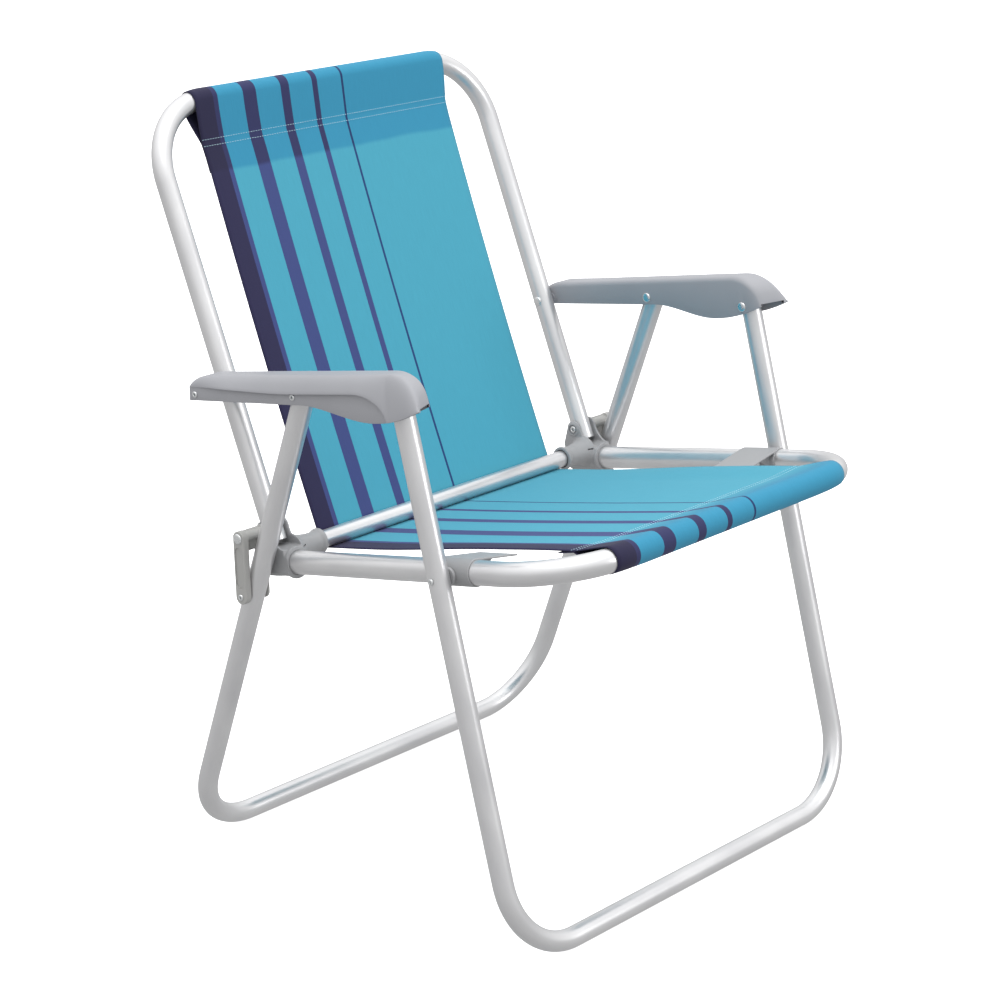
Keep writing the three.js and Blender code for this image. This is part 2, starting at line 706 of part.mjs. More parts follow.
const armStations = [
  ...[0, 0.06, 0.2, 0.45, 1].map((part) => part * ARM_REAR_ROUND - ARM_REAR),
  ...[0.22, 0.4, 0.65, 0.9].map((part) => part * middleAhead),
  ...[0, 0.2, 0.4, 0.6, 0.8].map((part) => mix(...bellyRun, part)),
  ...[0, 0.35, 0.6, 0.8, 0.93, 1].map((part) => mix(...lipTurn, part)),
  ...[0, 0.3, 0.5, 0.66, 0.8, 0.9, 0.97, 1].map((part) => mix(visorStart, ARM_LENGTH, part)),
].sort((a, b) => a - b);

const quarter = [0, 0.25, 0.5, 0.75, 1].map((part) => (part * Math.PI) / 2);

function armOuterRing(ahead) {
  const [top, bottom, lip] = [armTop(ahead), armBottom(ahead), armLip(ahead)];
  const overhang = ARM_OVERHANG * ease(ahead, -ARM_REAR, ARM_OVERHANG_RUN) + GAP;
  const outside = armSkirt + Math.min(overhang, ARM_OVERHANG);
  const shoulder = Math.max(top - lip - ARM_WALL / 2, LIP_EDGE / 2);
  const inner = Math.min(ARM_INNER_ROUND, (top - bottom) * 0.45);
  const outerCorner = quarter.map((turn) => armPoint(
    ahead,
    outside - ARM_SHOULDER * (1 - Math.cos(turn)),
    top - shoulder * (1 - Math.sin(turn)),
  ));
  const innerCorner = quarter.filter((_, i) => i % 2 === 0).map((turn) => armPoint(
    ahead,
    armInside + ARM_INNER_ROUND * (1 - Math.sin(turn)),
    top - inner * (1 - Math.cos(turn)),
  ));
  return [
    armPoint(ahead, armInside, bottom),
    armPoint(ahead, armSkirt, bottom),
    armPoint(ahead, armSkirt, lip),
    armPoint(ahead, outside, lip),
    ...outerCorner,
    ...innerCorner,
  ];
}

function armHollowRing(ahead) {
  const top = Math.min(armTop(ahead + ARM_WALL), armTop(ahead - ARM_WALL)) - ARM_WALL;
  const [inner, outer] = [armInside + ARM_WALL, armSkirt - ARM_WALL];
  const under = armBottom(frontAhead) - 2 * ARM_TOP;
  return [
    armPoint(ahead, inner, under),
    armPoint(ahead, outer, under),
    armPoint(ahead, outer, top - ARM_INNER_ROUND),
    armPoint(ahead, outer - ARM_INNER_ROUND, top),
    armPoint(ahead, inner + ARM_INNER_ROUND * 0.7, top),
    armPoint(ahead, inner, top - ARM_INNER_ROUND * 0.7),
  ];
}

// In the arm's slope, with its rear pivot at the origin
function armrest() {
  const [rearWall, frontWall] = [ARM_WALL - ARM_REAR, ARM_LENGTH - ARM_WALL];
  const inside = armStations.filter((ahead) => ahead > rearWall && ahead < frontWall);
  const shell = toSolid(loft(armStations.map(armOuterRing)));
  const hollow = toSolid(loft([rearWall, ...inside].map(armHollowRing)));
  const [innerFace, outerFace] = [armInside + ARM_WALL, armSkirt - ARM_WALL];
  const under = armBottom(frontAhead) - ARM_TOP;
  const mouth = outline([
    [-ARM_LENGTH - 1, under],
    [-frontAhead, under],
    [-frontAhead, VISOR_TIP - VISOR_RIM],
    [-ARM_LENGTH - 1, VISOR_TIP - VISOR_RIM],
  ]);
  let solid = shell.subtract(hollow);
  solid = solid.subtract(toSolid(across(mouth, innerFace + ARM_WALL, outerFace - ARM_WALL)));
  for (const { x, y } of [armRearPlace, armFrontPlace]) {
    const boss = disc(x, y, ARM_BOSS_RADIUS);
    solid = solid.add(toSolid(across(boss, innerFace - GAP, legInside - GAP, 8)));
    solid = solid.add(toSolid(across(boss, legOutside + GAP, outerFace + GAP, 8)));
    solid = solid.subtract(drill(x, y, PIVOT_RIVET / 2 + GAP, armInside - 1, outerFace + GAP));
  }
  const { x, y } = armRearPlace;
  solid = solid.subtract(drill(x, y, PIVOT_RIVET / 2 + GAP, outerFace, armSkirt));
  solid = solid.subtract(drill(x, y, (PIVOT_RIVET / 2) * RIVET_EYE + GAP, armSkirt, armOutside + 1));
  solid = solid.add(toSolid(across(disc(0, 0, ARM_BOSS_RADIUS), earInside, armInside + GAP, 8)));
  return toGeometry(solid.subtract(drill(0, 0, PIVOT_RIVET / 2 + GAP, earInside - 1, armOutside + 1)));
}

// The sling

// In the back's slope, with the hinge at the origin
const crossbarPlace = from(from(railFoot, seatAhead, CROSSBAR_AHEAD), seatDown, -CROSSBAR_ABOVE);
const wrap = crossbarReach + GAP + CLOTH / 2;
const crossbarFromBack = seenFrom(crossbarPlace, hinge, backTurn);
const slingLow = new THREE.Vector2(crossbarFromBack.x + wrap, crossbarFromBack.y);

function slingLine(start, end, sag, count) {
  return Array.from({ length: count + 1 }, (_, i) => {
    const part = i / count;
    const place = start.clone().lerp(end, part);
    const side = end.clone().sub(start).normalize();
    const hang = sag * 4 * part * (1 - part);
    return [place.x - side.y * hang, place.y + side.x * hang];
  });
}

// A sleeve round the bar of a bow, as a solid rod and the rod that bores it
function sleeve(bend, tube, frame) {
  const path = bowPath(RAIL_X, 2 * bend, bend);
  const bore = tube / 2 + 2 * GAP;
  const width = across(disc(0, 0, 2 * bend), -SLEEVE_HALF, SLEEVE_HALF);
  const rod = toSolid(sweep(path, bore + CLOTH, 0).applyMatrix4(frame));
  const hole = toSolid(sweep(path, bore, 0).applyMatrix4(frame));
  return { rod: rod.intersect(toSolid(width.applyMatrix4(frame))), hole };
}

// The two layers of cloth between a sleeve and its row of stitches
function hem(outer, hollow) {
  const layers = toSolid(across(outer, -CLOTH_HALF, CLOTH_HALF));
  return layers.subtract(toSolid(across(hollow, -CLOTH_HALF - 1, CLOTH_HALF + 1)));
}

function backSling() {
  const reach = (FRAME_TUBE / 2 + 2 * GAP + CLOTH) * 0.98;
  const stitches = BACK_HEIGHT - BACK_HEM;
  const hollowEnd = BACK_HEIGHT - BACK_HEM * (1 - (1.5 * CLOTH) / reach);
  const outer = outline([
    [reach, BACK_HEIGHT],
    [-reach, BACK_HEIGHT],
    [-CLOTH / 2, stitches],
    [CLOTH / 2, stitches],
  ]);
  const hollow = outline([[reach - CLOTH, BACK_HEIGHT], [CLOTH - reach, BACK_HEIGHT], [0, hollowEnd]]);
  const start = new THREE.Vector2(0, stitches + CLOTH);
  const end = start.clone().lerp(slingLow, (start.y - SLING_SPLIT) / (start.y - slingLow.y));
  const sheet = band(slingLine(start, end, BACK_SAG, 8), CLOTH);
  const frame = new THREE.Matrix4().makeRotationX(-Math.PI / 2).setPosition(0, 0, BACK_HEIGHT);
  const top = sleeve(BACK_BEND, FRAME_TUBE, frame);
  const cloth = hem(outer, hollow).add(toSolid(across(sheet, -CLOTH_HALF, CLOTH_HALF)));
  return toGeometry(cloth.add(top.rod).subtract(top.hole));
}

// In the seat's slope: down behind the crossbar, under it, and forward to the sleeve of the front bar
function seatSling() {
  const centre = new THREE.Vector2(-CROSSBAR_AHEAD, CROSSBAR_ABOVE);
  const slope = backTurn - seatTurn;
  const rearward = Math.atan2(Math.sin(slope), Math.cos(slope));
  const backLine = new THREE.Vector2(-Math.sin(slope), Math.cos(slope));
  const seam = new THREE.Vector2(SEAT_HEM - SEAT_DEPTH, -SEAT_SEAM_DROP);
  const under = -Math.PI / 2 - Math.atan2(seam.y - centre.y + wrap, centre.x - seam.x);
  const around = (angle) => [centre.x + wrap * Math.cos(angle), centre.y + wrap * Math.sin(angle)];
  const turns = Array.from({ length: 6 }, (_, i) => mix(rearward, under, i / 5));
  const last = new THREE.Vector2(...around(under));
  const rise = -crossbarFromBack.y - SLING_SPLIT;
  const start = new THREE.Vector2(...around(rearward)).addScaledVector(backLine, rise);
  const panelEnd = new THREE.Vector2(seam.x - CLOTH, seam.y);
  const flat = slingLine(last, panelEnd, SEAT_SAG, 8).slice(1);
  const sheet = band([[start.x, start.y], ...turns.map(around), ...flat], CLOTH);
  const reach = (SEAT_TUBE / 2 + 2 * GAP + CLOTH) * 0.98;
  const hollowEnd = mix(seam.x, -SEAT_DEPTH, (1.5 * CLOTH) / reach);
  const outer = outline([
    [-SEAT_DEPTH, reach],
    [-SEAT_DEPTH, -reach],
    [seam.x, seam.y - CLOTH / 2],
    [seam.x, seam.y + CLOTH / 2],
  ]);
  const hollow = outline([
    [-SEAT_DEPTH, reach - CLOTH],
    [-SEAT_DEPTH, CLOTH - reach],
    [hollowEnd, seam.y],
  ]);
  const front = sleeve(SEAT_BEND, SEAT_TUBE, new THREE.Matrix4().setPosition(0, -SEAT_DEPTH, 0));
  const cloth = hem(outer, hollow).add(toSolid(across(sheet, -CLOTH_HALF, CLOTH_HALF)));
  return toGeometry(cloth.add(front.rod).subtract(front.hole));
}

// Assembly

const chair = new THREE.Group();

function frameGroup(place, turn) {
  const group = new THREE.Group();
  group.position.set(0, place.x, place.y);
  group.rotation.x = turn;
  chair.add(group);
  return group;
}

function add(group, name, geometry, look, place = [0, 0, 0]) {
  const mesh = new THREE.Mesh(geometry, new THREE.MeshStandardMaterial(look));
  mesh.name = name;
  mesh.position.set(...place);
  group.add(mesh);
}

function addPair(group, name, geometry, look, place = [0, 0, 0]) {
  add(group, `${name}_left`, geometry, look, place);
  add(group, `${name}_right`, mirrored(geometry), look, place);
}

const back = frameGroup(hinge, backTurn);
add(back, 'back_frame', backFrame(), ALUMINIUM);
add(back, 'back_sling', backSling(), TURQUOISE_CLOTH);
const armBackRivet = rivet(RAIL_X - frameReach, armSkirt, PIVOT_RIVET, domedEnd, eyeEnd);
addPair(back, 'arm_back_rivet', armBackRivet, RIVET_STEEL, [0, 0, ARM_HEIGHT]);

const seat = frameGroup(railFoot, seatTurn);
add(seat, 'seat_frame', seatFrame(), ALUMINIUM);
add(seat, 'rear_crossbar', crossbar(), ALUMINIUM, [0, -CROSSBAR_AHEAD, CROSSBAR_ABOVE]);
addPair(seat, 'crossbar_screw', crossbarScrew(), RIVET_STEEL, [0, -CROSSBAR_AHEAD, CROSSBAR_ABOVE]);
addPair(seat, 'hinge_connector', hingeConnector(), MOULDED_GREY);
addPair(seat, 'leg_saddle', legSaddle(), MOULDED_GREY, [0, -saddleAhead, 0]);
addPair(seat, 'leg_bush', legBush(), MOULDED_GREY, [0, -saddleAhead, 0]);
add(seat, 'seat_sling', seatSling(), TURQUOISE_CLOTH);
const saddleInside = RAIL_X - (railReach + GAP + SADDLE_WALL);
const legRivet = rivet(saddleInside, legOutside, PIVOT_RIVET, domedEnd, eyeEnd);
addPair(seat, 'leg_rivet', legRivet, RIVET_STEEL, [0, -saddleAhead, 0]);
const hingeRivet = rivet(earFace - EAR_WALL, linkOuterFace, HINGE_RIVET, eyeEnd, domedEnd);
addPair(seat, 'hinge_rivet', hingeRivet, RIVET_STEEL, [0, 0, RAIL_DROP]);

const frontLegs = frameGroup(frontFloor, frontTurn);
add(frontLegs, 'front_leg_frame', frontLegFrame(), ALUMINIUM);

const rearLegs = frameGroup(rearFloor, rearTurn);
add(rearLegs, 'rear_leg_frame', rearLegFrame(), ALUMINIUM);

const links = frameGroup(hinge, linkTurn);
addPair(links, 'link_yoke', linkYoke(), MOULDED_GREY);
const linkRivet = rivet(linkInside, linkOuterFace, PIVOT_RIVET, cutEnd, eyeEnd);
addPair(links, 'link_rivet', linkRivet, RIVET_STEEL, [0, 0, -LINK_LENGTH]);

const arms = frameGroup(armPivot, armTurn);
addPair(arms, 'armrest', armrest(), MOULDED_GREY);
const frontRivet = rivet(armInside, armSkirt - ARM_WALL, PIVOT_RIVET, domedEnd, cutEnd);
addPair(arms, 'arm_front_rivet', frontRivet, RIVET_STEEL, [0, armFrontPlace.x, armFrontPlace.y]);
const rearInner = rivet(armInside, legInside - GAP, PIVOT_RIVET, domedEnd, cutEnd);
addPair(arms, 'arm_rear_rivet_inner', rearInner, RIVET_STEEL, [0, armRearPlace.x, armRearPlace.y]);
const rearOuter = rivet(legOutside + GAP, armSkirt, PIVOT_RIVET, cutEnd, eyeEnd);
addPair(arms, 'arm_rear_rivet_outer', rearOuter, RIVET_STEEL, [0, armRearPlace.x, armRearPlace.y]);

// The origin is on the floor under the middle of the chair's box
const box = new THREE.Box3().setFromObject(chair, true);
chair.position.y = -(box.min.y + box.max.y) / 2;

export default chair;
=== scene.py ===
"""Folding lawn chair: drawn aluminium tubes, moulded grey hinge parts and arms, and a striped cloth sling.

The solid model is loaded as a fixed frame. Each class below builds one sub-assembly of the chair in
millimetres, in the same sloping frames as the solids, and hangs it on the body that carries it.
"""

import json
import logging
import math
from dataclasses import dataclass
from enum import Enum
from typing import Callable, Optional, Sequence

import bmesh
import bpy
from mathutils import Matrix, Vector
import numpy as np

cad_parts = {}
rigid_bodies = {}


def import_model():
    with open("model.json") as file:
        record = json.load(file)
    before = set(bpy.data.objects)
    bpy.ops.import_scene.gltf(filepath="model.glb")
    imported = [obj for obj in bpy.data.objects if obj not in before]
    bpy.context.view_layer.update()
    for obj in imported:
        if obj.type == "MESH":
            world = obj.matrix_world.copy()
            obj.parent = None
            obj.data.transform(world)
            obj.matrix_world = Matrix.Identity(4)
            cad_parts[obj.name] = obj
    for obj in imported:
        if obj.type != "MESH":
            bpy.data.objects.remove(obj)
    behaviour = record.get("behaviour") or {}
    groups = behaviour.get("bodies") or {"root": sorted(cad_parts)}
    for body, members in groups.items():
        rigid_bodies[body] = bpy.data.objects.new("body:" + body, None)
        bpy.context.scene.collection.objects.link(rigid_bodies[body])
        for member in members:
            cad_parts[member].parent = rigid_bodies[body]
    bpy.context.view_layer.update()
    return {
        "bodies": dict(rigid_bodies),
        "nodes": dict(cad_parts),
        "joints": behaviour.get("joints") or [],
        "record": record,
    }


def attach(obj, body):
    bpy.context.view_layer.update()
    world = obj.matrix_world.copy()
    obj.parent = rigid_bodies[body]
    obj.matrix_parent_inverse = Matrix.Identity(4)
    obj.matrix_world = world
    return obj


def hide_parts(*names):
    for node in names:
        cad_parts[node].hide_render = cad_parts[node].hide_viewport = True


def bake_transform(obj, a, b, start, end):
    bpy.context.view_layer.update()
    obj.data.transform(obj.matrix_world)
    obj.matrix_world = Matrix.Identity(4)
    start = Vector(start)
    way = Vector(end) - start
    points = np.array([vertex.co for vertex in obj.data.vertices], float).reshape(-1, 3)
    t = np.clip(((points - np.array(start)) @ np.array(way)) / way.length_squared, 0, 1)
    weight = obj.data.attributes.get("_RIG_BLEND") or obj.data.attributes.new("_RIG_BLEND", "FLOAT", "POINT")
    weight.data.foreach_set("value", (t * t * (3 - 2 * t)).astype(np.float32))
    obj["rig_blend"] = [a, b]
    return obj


LOG = logging.getLogger("lawn_chair")
MM = 0.001
TO_METRES = Matrix.Scale(MM, 4)
# The wave texture's own factor on its scale.
WAVE_TURN = 20
ALL_AXES = {"use_axis_x": True, "use_axis_y": True, "use_axis_z": True}
# How far a cut runs on past what it cuts.
PAST = 9
# Where the middle point of a soft corner lies, as a share of the corner's size.
CORNER = 0.3
# The Mix node's sockets for colours.
MIX_SHARE, MIX_FIRST, MIX_SECOND, MIX_RESULT = 0, 6, 7, 2


class Body(str, Enum):
    """The rigid bodies of the chair."""

    BACK = "back"
    SEAT = "seat"
    ARMS = "armrests"
    FRONT_LEGS = "front_legs"
    REAR_LEGS = "rear_legs"
    LINKS = "links"


class Slot(str, Enum):
    """The material slots of the record."""

    TUBE = "aluminium_tube"
    PLASTIC = "grey_plastic"
    CLOTH = "sling_cloth"
    FASTENER = "fastener"


class Side(Enum):
    """The sitter's left and right, by the sign of X."""

    LEFT = 1
    RIGHT = -1

    @property
    def word(self) -> str:
        """The side's name in lower case."""
        return self.name.lower()


class RivetEnd(Enum):
    """How a rivet ends: (stand, share of the rim) points, the rim in shank radii, and its least size."""

    CUT = (((0.0, 0.0),), 1.0, 0.0)
    DOME = (
        ((2.0, 0.0), (1.95, 0.35), (1.75, 0.65), (1.35, 0.87), (0.8, 0.98), (0.2, 1.0)),
        1.9,
        5.6,
    )
    EYE = (
        (
            (-2.2, 0.0),
            (-2.0, 0.34),
            (0.9, 0.4),
            (1.45, 0.48),
            (1.6, 0.62),
            (1.4, 0.8),
            (0.9, 0.95),
            (0.35, 1.0),
        ),
        1.4,
        0.0,
    )

    def profile(self, face: float, out: int, shank: float) -> list[tuple[float, float]]:
        """Half the section of this end, from its middle to the shank.

        Args:
            face: Where the face that it sits on is.
            out: The direction in which it stands out, 1 or -1.
            shank: The shank's radius.

        Returns:
            The (along, radius) points.
        """
        points, grow, least = self.value
        rim = max(shank * grow, least)
        half = [(face + out * stand, rim * share) for stand, share in points]
        return half + [(half[-1][0], shank)]


@dataclass(frozen=True)
class Plan:
    """The chair's driving sizes in millimetres and degrees, as in the solid model."""

    frame_tube: float = 22.2
    seat_tube: float = 25.4
    crossbar_tube: float = 19.0
    tube_wall: float = 1.2
    gap: float = 0.35
    rail_x: float = 251.5
    leg_x: float = 281.48
    rail_drop: float = 36.1
    seat_depth: float = 403.0
    seat_rise: float = 10.53
    seat_bend: float = 85.0
    rail_end: float = 13.8
    back_height: float = 454.6
    back_lean: float = 22.69
    back_bend: float = 78.0
    back_stub: float = 14.4
    arm_height: float = 155.6
    arm_rise: float = 10.3
    front_lean: float = 15.47
    front_pivot: float = 569.5
    rear_lean: float = 19.65
    rear_pivot: float = 571.3
    leg_bend: float = 84.0
    leg_stub: float = 12.0
    link_length: float = 63.9
    crossbar_ahead: float = 10.2
    crossbar_above: float = 9.7
    crossbar_end: float = 227.6
    socket_end: float = 197.7
    ear_inner: float = 236.65
    ear_face: float = 239.83
    ear_inside: float = 263.17
    ear_outside: float = 266.35
    link_inside: float = 266.75
    leg_inside: float = 270.17
    leg_outside: float = 292.8
    link_face: float = 301.4
    arm_inside: float = 264.37
    arm_skirt: float = 299.0
    arm_outside: float = 302.5


PLAN = Plan()


def side_frame(origin: Vector, turn: float) -> Matrix:
    """Gives a frame in the chair's side view.

    Args:
        origin: Its place in millimetres.
        turn: Its turn about the chair's width, in radians.

    Returns:
        The matrix from that frame to the chair.
    """
    return Matrix.Translation(origin) @ Matrix.Rotation(turn, 4, "X")


class ChairFrames:
    """The sloping frames of the chair's pieces, placed by the pivots of the loaded model."""

    def __init__(self, joints: Sequence[dict]) -> None:
        """Works out the frames.

        Args:
            joints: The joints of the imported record, whose places are in metres.
        """
        pivot = {j["name"]: Vector(j["pos_m"]) / MM for j in joints}
        hinge, saddle, low = pivot["seat_hinge"], pivot["front_leg_pivot"], pivot["rear_leg_pivot"]
        front, rear = math.radians(PLAN.front_lean), math.radians(PLAN.rear_lean)
        floor = PLAN.frame_tube / 2
        self.back = side_frame(hinge, -math.radians(PLAN.back_lean))
        seat_turn = -math.radians(PLAN.seat_rise)
        up = Matrix.Rotation(seat_turn, 4, "X") @ Vector((0, 0, 1))
        self.seat = side_frame(hinge - up * PLAN.rail_drop, seat_turn)
        self.saddle = side_frame(saddle, seat_turn)
        self.crossbar = self.seat @ Matrix.Translation((0, -PLAN.crossbar_ahead, PLAN.crossbar_above))
        self.hinge = side_frame(hinge, seat_turn)
        front_foot = Vector((0, saddle.y - (saddle.z - floor) * math.tan(front), floor))
        rear_foot = Vector((0, low.y + (low.z - floor) * math.tan(rear), floor))
        self.front_legs = side_frame(front_foot, -front)
        self.rear_legs = side_frame(rear_foot, rear)
        lean = hinge - low
        self.link = side_frame(hinge, math.atan2(lean.z, lean.y) - math.pi / 2)
        self.arm = side_frame(pivot["arm_pivot"], -math.radians(PLAN.arm_rise))
        front_top = self.front_legs @ Vector((0, 0, PLAN.front_pivot))
        rear_top = self.rear_legs @ Vector((0, 0, PLAN.rear_pivot))
        self.arm_front = self.arm.inverted() @ front_top
        self.arm_middle = self.arm.inverted() @ rear_top


def linear(hex_colour: str) -> tuple[float, float, float, float]:
    """Turns an sRGB hex colour into a linear RGBA value.

    Args:
        hex_colour: Six hex digits.

    Returns:
        The linear colour with full alpha.
    """
    values = [int(hex_colour[i : i + 2], 16) / 255 for i in (0, 2, 4)]
    red, green, blue = [v / 12.92 if v <= 0.04045 else ((v + 0.055) / 1.055) ** 2.4 for v in values]
    return red, green, blue, 1.0


def add_node(
    tree: bpy.types.NodeTree,
    kind: str,
    inputs: Optional[dict] = None,
    **settings: object,
) -> bpy.types.Node:
    """Adds a node with its settings and links.

    Args:
        tree: The node tree it goes into.
        kind: The node's type, without its first word "ShaderNode".
        inputs: A value, or another node's output, for each named or numbered input.
        settings: The node's own properties.

    Returns:
        The new node.
    """
    node = tree.nodes.new(f"ShaderNode{kind}")
    for key, value in settings.items():
        setattr(node, key, value)
    for key, value in (inputs or {}).items():
        if isinstance(value, bpy.types.NodeSocket):
            tree.links.new(value, node.inputs[key])
        else:
            node.inputs[key].default_value = value
    return node


def new_material(name: str, values: dict) -> tuple[bpy.types.Material, bpy.types.NodeTree, bpy.types.Node]:
    """Makes an empty material with a Principled shader on its output.

    Args:
        name: The material's name.
        values: The shader's constant values, by input.

    Returns:
        The material, its tree and the shader node.
    """
    material = bpy.data.materials.new(name)
    material.use_nodes = True
    tree = material.node_tree
    tree.nodes.clear()
    shader = add_node(tree, "BsdfPrincipled", values)
    add_node(tree, "OutputMaterial", {"Surface": shader.outputs["BSDF"]})
    return material, tree, shader


def stretched(
    tree: bpy.types.NodeTree,
    place: bpy.types.NodeSocket,
    scale: Sequence[float],
) -> bpy.types.NodeSocket:
    """Scales a pattern's coordinates.

    Args:
        tree: The material's tree.
        place: The coordinates.
        scale: The scale on each axis; a small one draws the pattern out.

    Returns:
        The scaled coordinates.
    """
    return add_node(tree, "Mapping", {"Vector": place, "Scale": scale}).outputs["Vector"]


def noise(
    tree: bpy.types.NodeTree,
    place: bpy.types.NodeSocket,
    size_mm: float,
    detail: float,
) -> bpy.types.NodeSocket:
    """Makes a cloudy pattern.

    Args:
        tree: The material's tree.
        place: Its coordinates.
        size_mm: The size of its largest patches.
        detail: How many finer levels it has.

    Returns:
        The pattern, from 0 to 1.
    """
    values = {"Vector": place, "Scale": 1 / (size_mm * MM), "Detail": detail}
    return add_node(tree, "TexNoise", values).outputs["Fac"]


def bands(
    tree: bpy.types.NodeTree,
    place: bpy.types.NodeSocket,
    pitch_mm: float,
    direction: str,
) -> bpy.types.NodeSocket:
    """Makes even soft bands.

    Args:
        tree: The material's tree.
        place: Their coordinates.
        pitch_mm: The distance from one band to the next.
        direction: The axis that they cross.

    Returns:
        The pattern, from 0 to 1.
    """
    values = {"Vector": place, "Scale": 2 * math.pi / (WAVE_TURN * pitch_mm * MM)}
    return add_node(tree, "TexWave", values, bands_direction=direction).outputs["Fac"]


def ranged(
    tree: bpy.types.NodeTree,
    share: bpy.types.NodeSocket,
    ends: tuple[float, float],
) -> bpy.types.NodeSocket:
    """Spreads a share over a range.

    Args:
        tree: The material's tree.
        share: The share, from 0 to 1.
        ends: The values at 0 and at 1.

    Returns:
        The value.
    """
    values = {"Value": share, "To Min": ends[0], "To Max": ends[1]}
    return add_node(tree, "MapRange", values).outputs["Result"]


def blended(
    tree: bpy.types.NodeTree,
    share: bpy.types.NodeSocket,
    first: object,
    second: object,
) -> bpy.types.NodeSocket:
    """Blends two colours.

    Args:
        tree: The material's tree.
        share: The second colour's share.
        first: The first colour, or an output that gives it.
        second: The second colour, likewise.

    Returns:
        The colour.
    """
    inputs = {MIX_SHARE: share, MIX_FIRST: first, MIX_SECOND: second}
    return add_node(tree, "Mix", inputs, data_type="RGBA").outputs[MIX_RESULT]


def bumped(
    tree: bpy.types.NodeTree,
    height: bpy.types.NodeSocket,
    relief: tuple[float, float],
) -> bpy.types.NodeSocket:
    """Turns a pattern into a relief.

    Args:
        tree: The material's tree.
        height: The pattern.
        relief: The relief's strength, and its depth in millimetres.

    Returns:
        The normals.
    """
    values = {"Height": height, "Strength": relief[0], "Distance": relief[1] * MM}
    return add_node(tree, "Bump", values).outputs["Normal"]


def joined(tree: bpy.types.NodeTree, shader: bpy.types.Node, **outputs: bpy.types.NodeSocket) -> None:
    """Links patterns to a shader.

    Args:
        tree: The material's tree.
        shader: The shader node.
        outputs: The output for each input, with an underscore for each space of its name.
    """
    for key, output in outputs.items():
        tree.links.new(output, shader.inputs[key.replace("_", " ")])


@dataclass(frozen=True)
class DrawnAluminium:
    """Aluminium tube, drawn through a die, with a milky anodised skin: satin, with faint draw lines.

    The real draw lines are finer than a pixel. These are wider, and soften the highlights as those do.
    """

    name: str = "satin_drawn_aluminium"
    colour: str = "E6E6E6"
    shade: str = "C6C6C9"
    metal: float = 0.8
    roughness: tuple[float, float] = (0.27, 0.38)
    relief: tuple[float, float] = (0.02, 0.4)
    line_mm: float = 0.9
    line_draw: float = 0.012
    patch_mm: float = 26.0
    patch_draw: float = 0.35

    def build(self) -> bpy.types.Material:
        """Makes the material; it reads the straightened tube coordinates of each piece."""
        material, tree, shader = new_material(self.name, {"Metallic": self.metal})
        place = add_node(tree, "Attribute", attribute_name="tube").outputs["Vector"]
        lines = noise(tree, stretched(tree, place, (1, 1, self.line_draw)), self.line_mm, 2.0)
        patch = noise(tree, stretched(tree, place, (1, 1, self.patch_draw)), self.patch_mm, 4.0)
        joined(
            tree,
            shader,
            Base_Color=blended(tree, patch, linear(self.shade), linear(self.colour)),
            Roughness=ranged(tree, patch, self.roughness),
            Normal=bumped(tree, lines, self.relief),
        )
        return material


@dataclass(frozen=True)
class GreyPolypropylene:
    """Polypropylene, injection moulded in a spark-eroded tool: matte, with a fine even grain."""

    name: str
    colour: str
    shade: str
    roughness: float = 0.48
    ior: float = 1.49
    relief: tuple[float, float] = (0.1, 0.3)
    grain_mm: float = 0.7
    cloud_mm: float = 45.0

    def build(self) -> bpy.types.Material:
        """Makes the material from object coordinates."""
        values = {"Roughness": self.roughness, "IOR": self.ior}
        material, tree, shader = new_material(self.name, values)
        place = add_node(tree, "TexCoord").outputs["Object"]
        grain = noise(tree, place, self.grain_mm, 3.0)
        cloud = noise(tree, place, self.cloud_mm, 2.0)
        joined(
            tree,
            shader,
            Base_Color=blended(tree, cloud, linear(self.shade), linear(self.colour)),
            Normal=bumped(tree, grain, self.relief),
        )
        return material


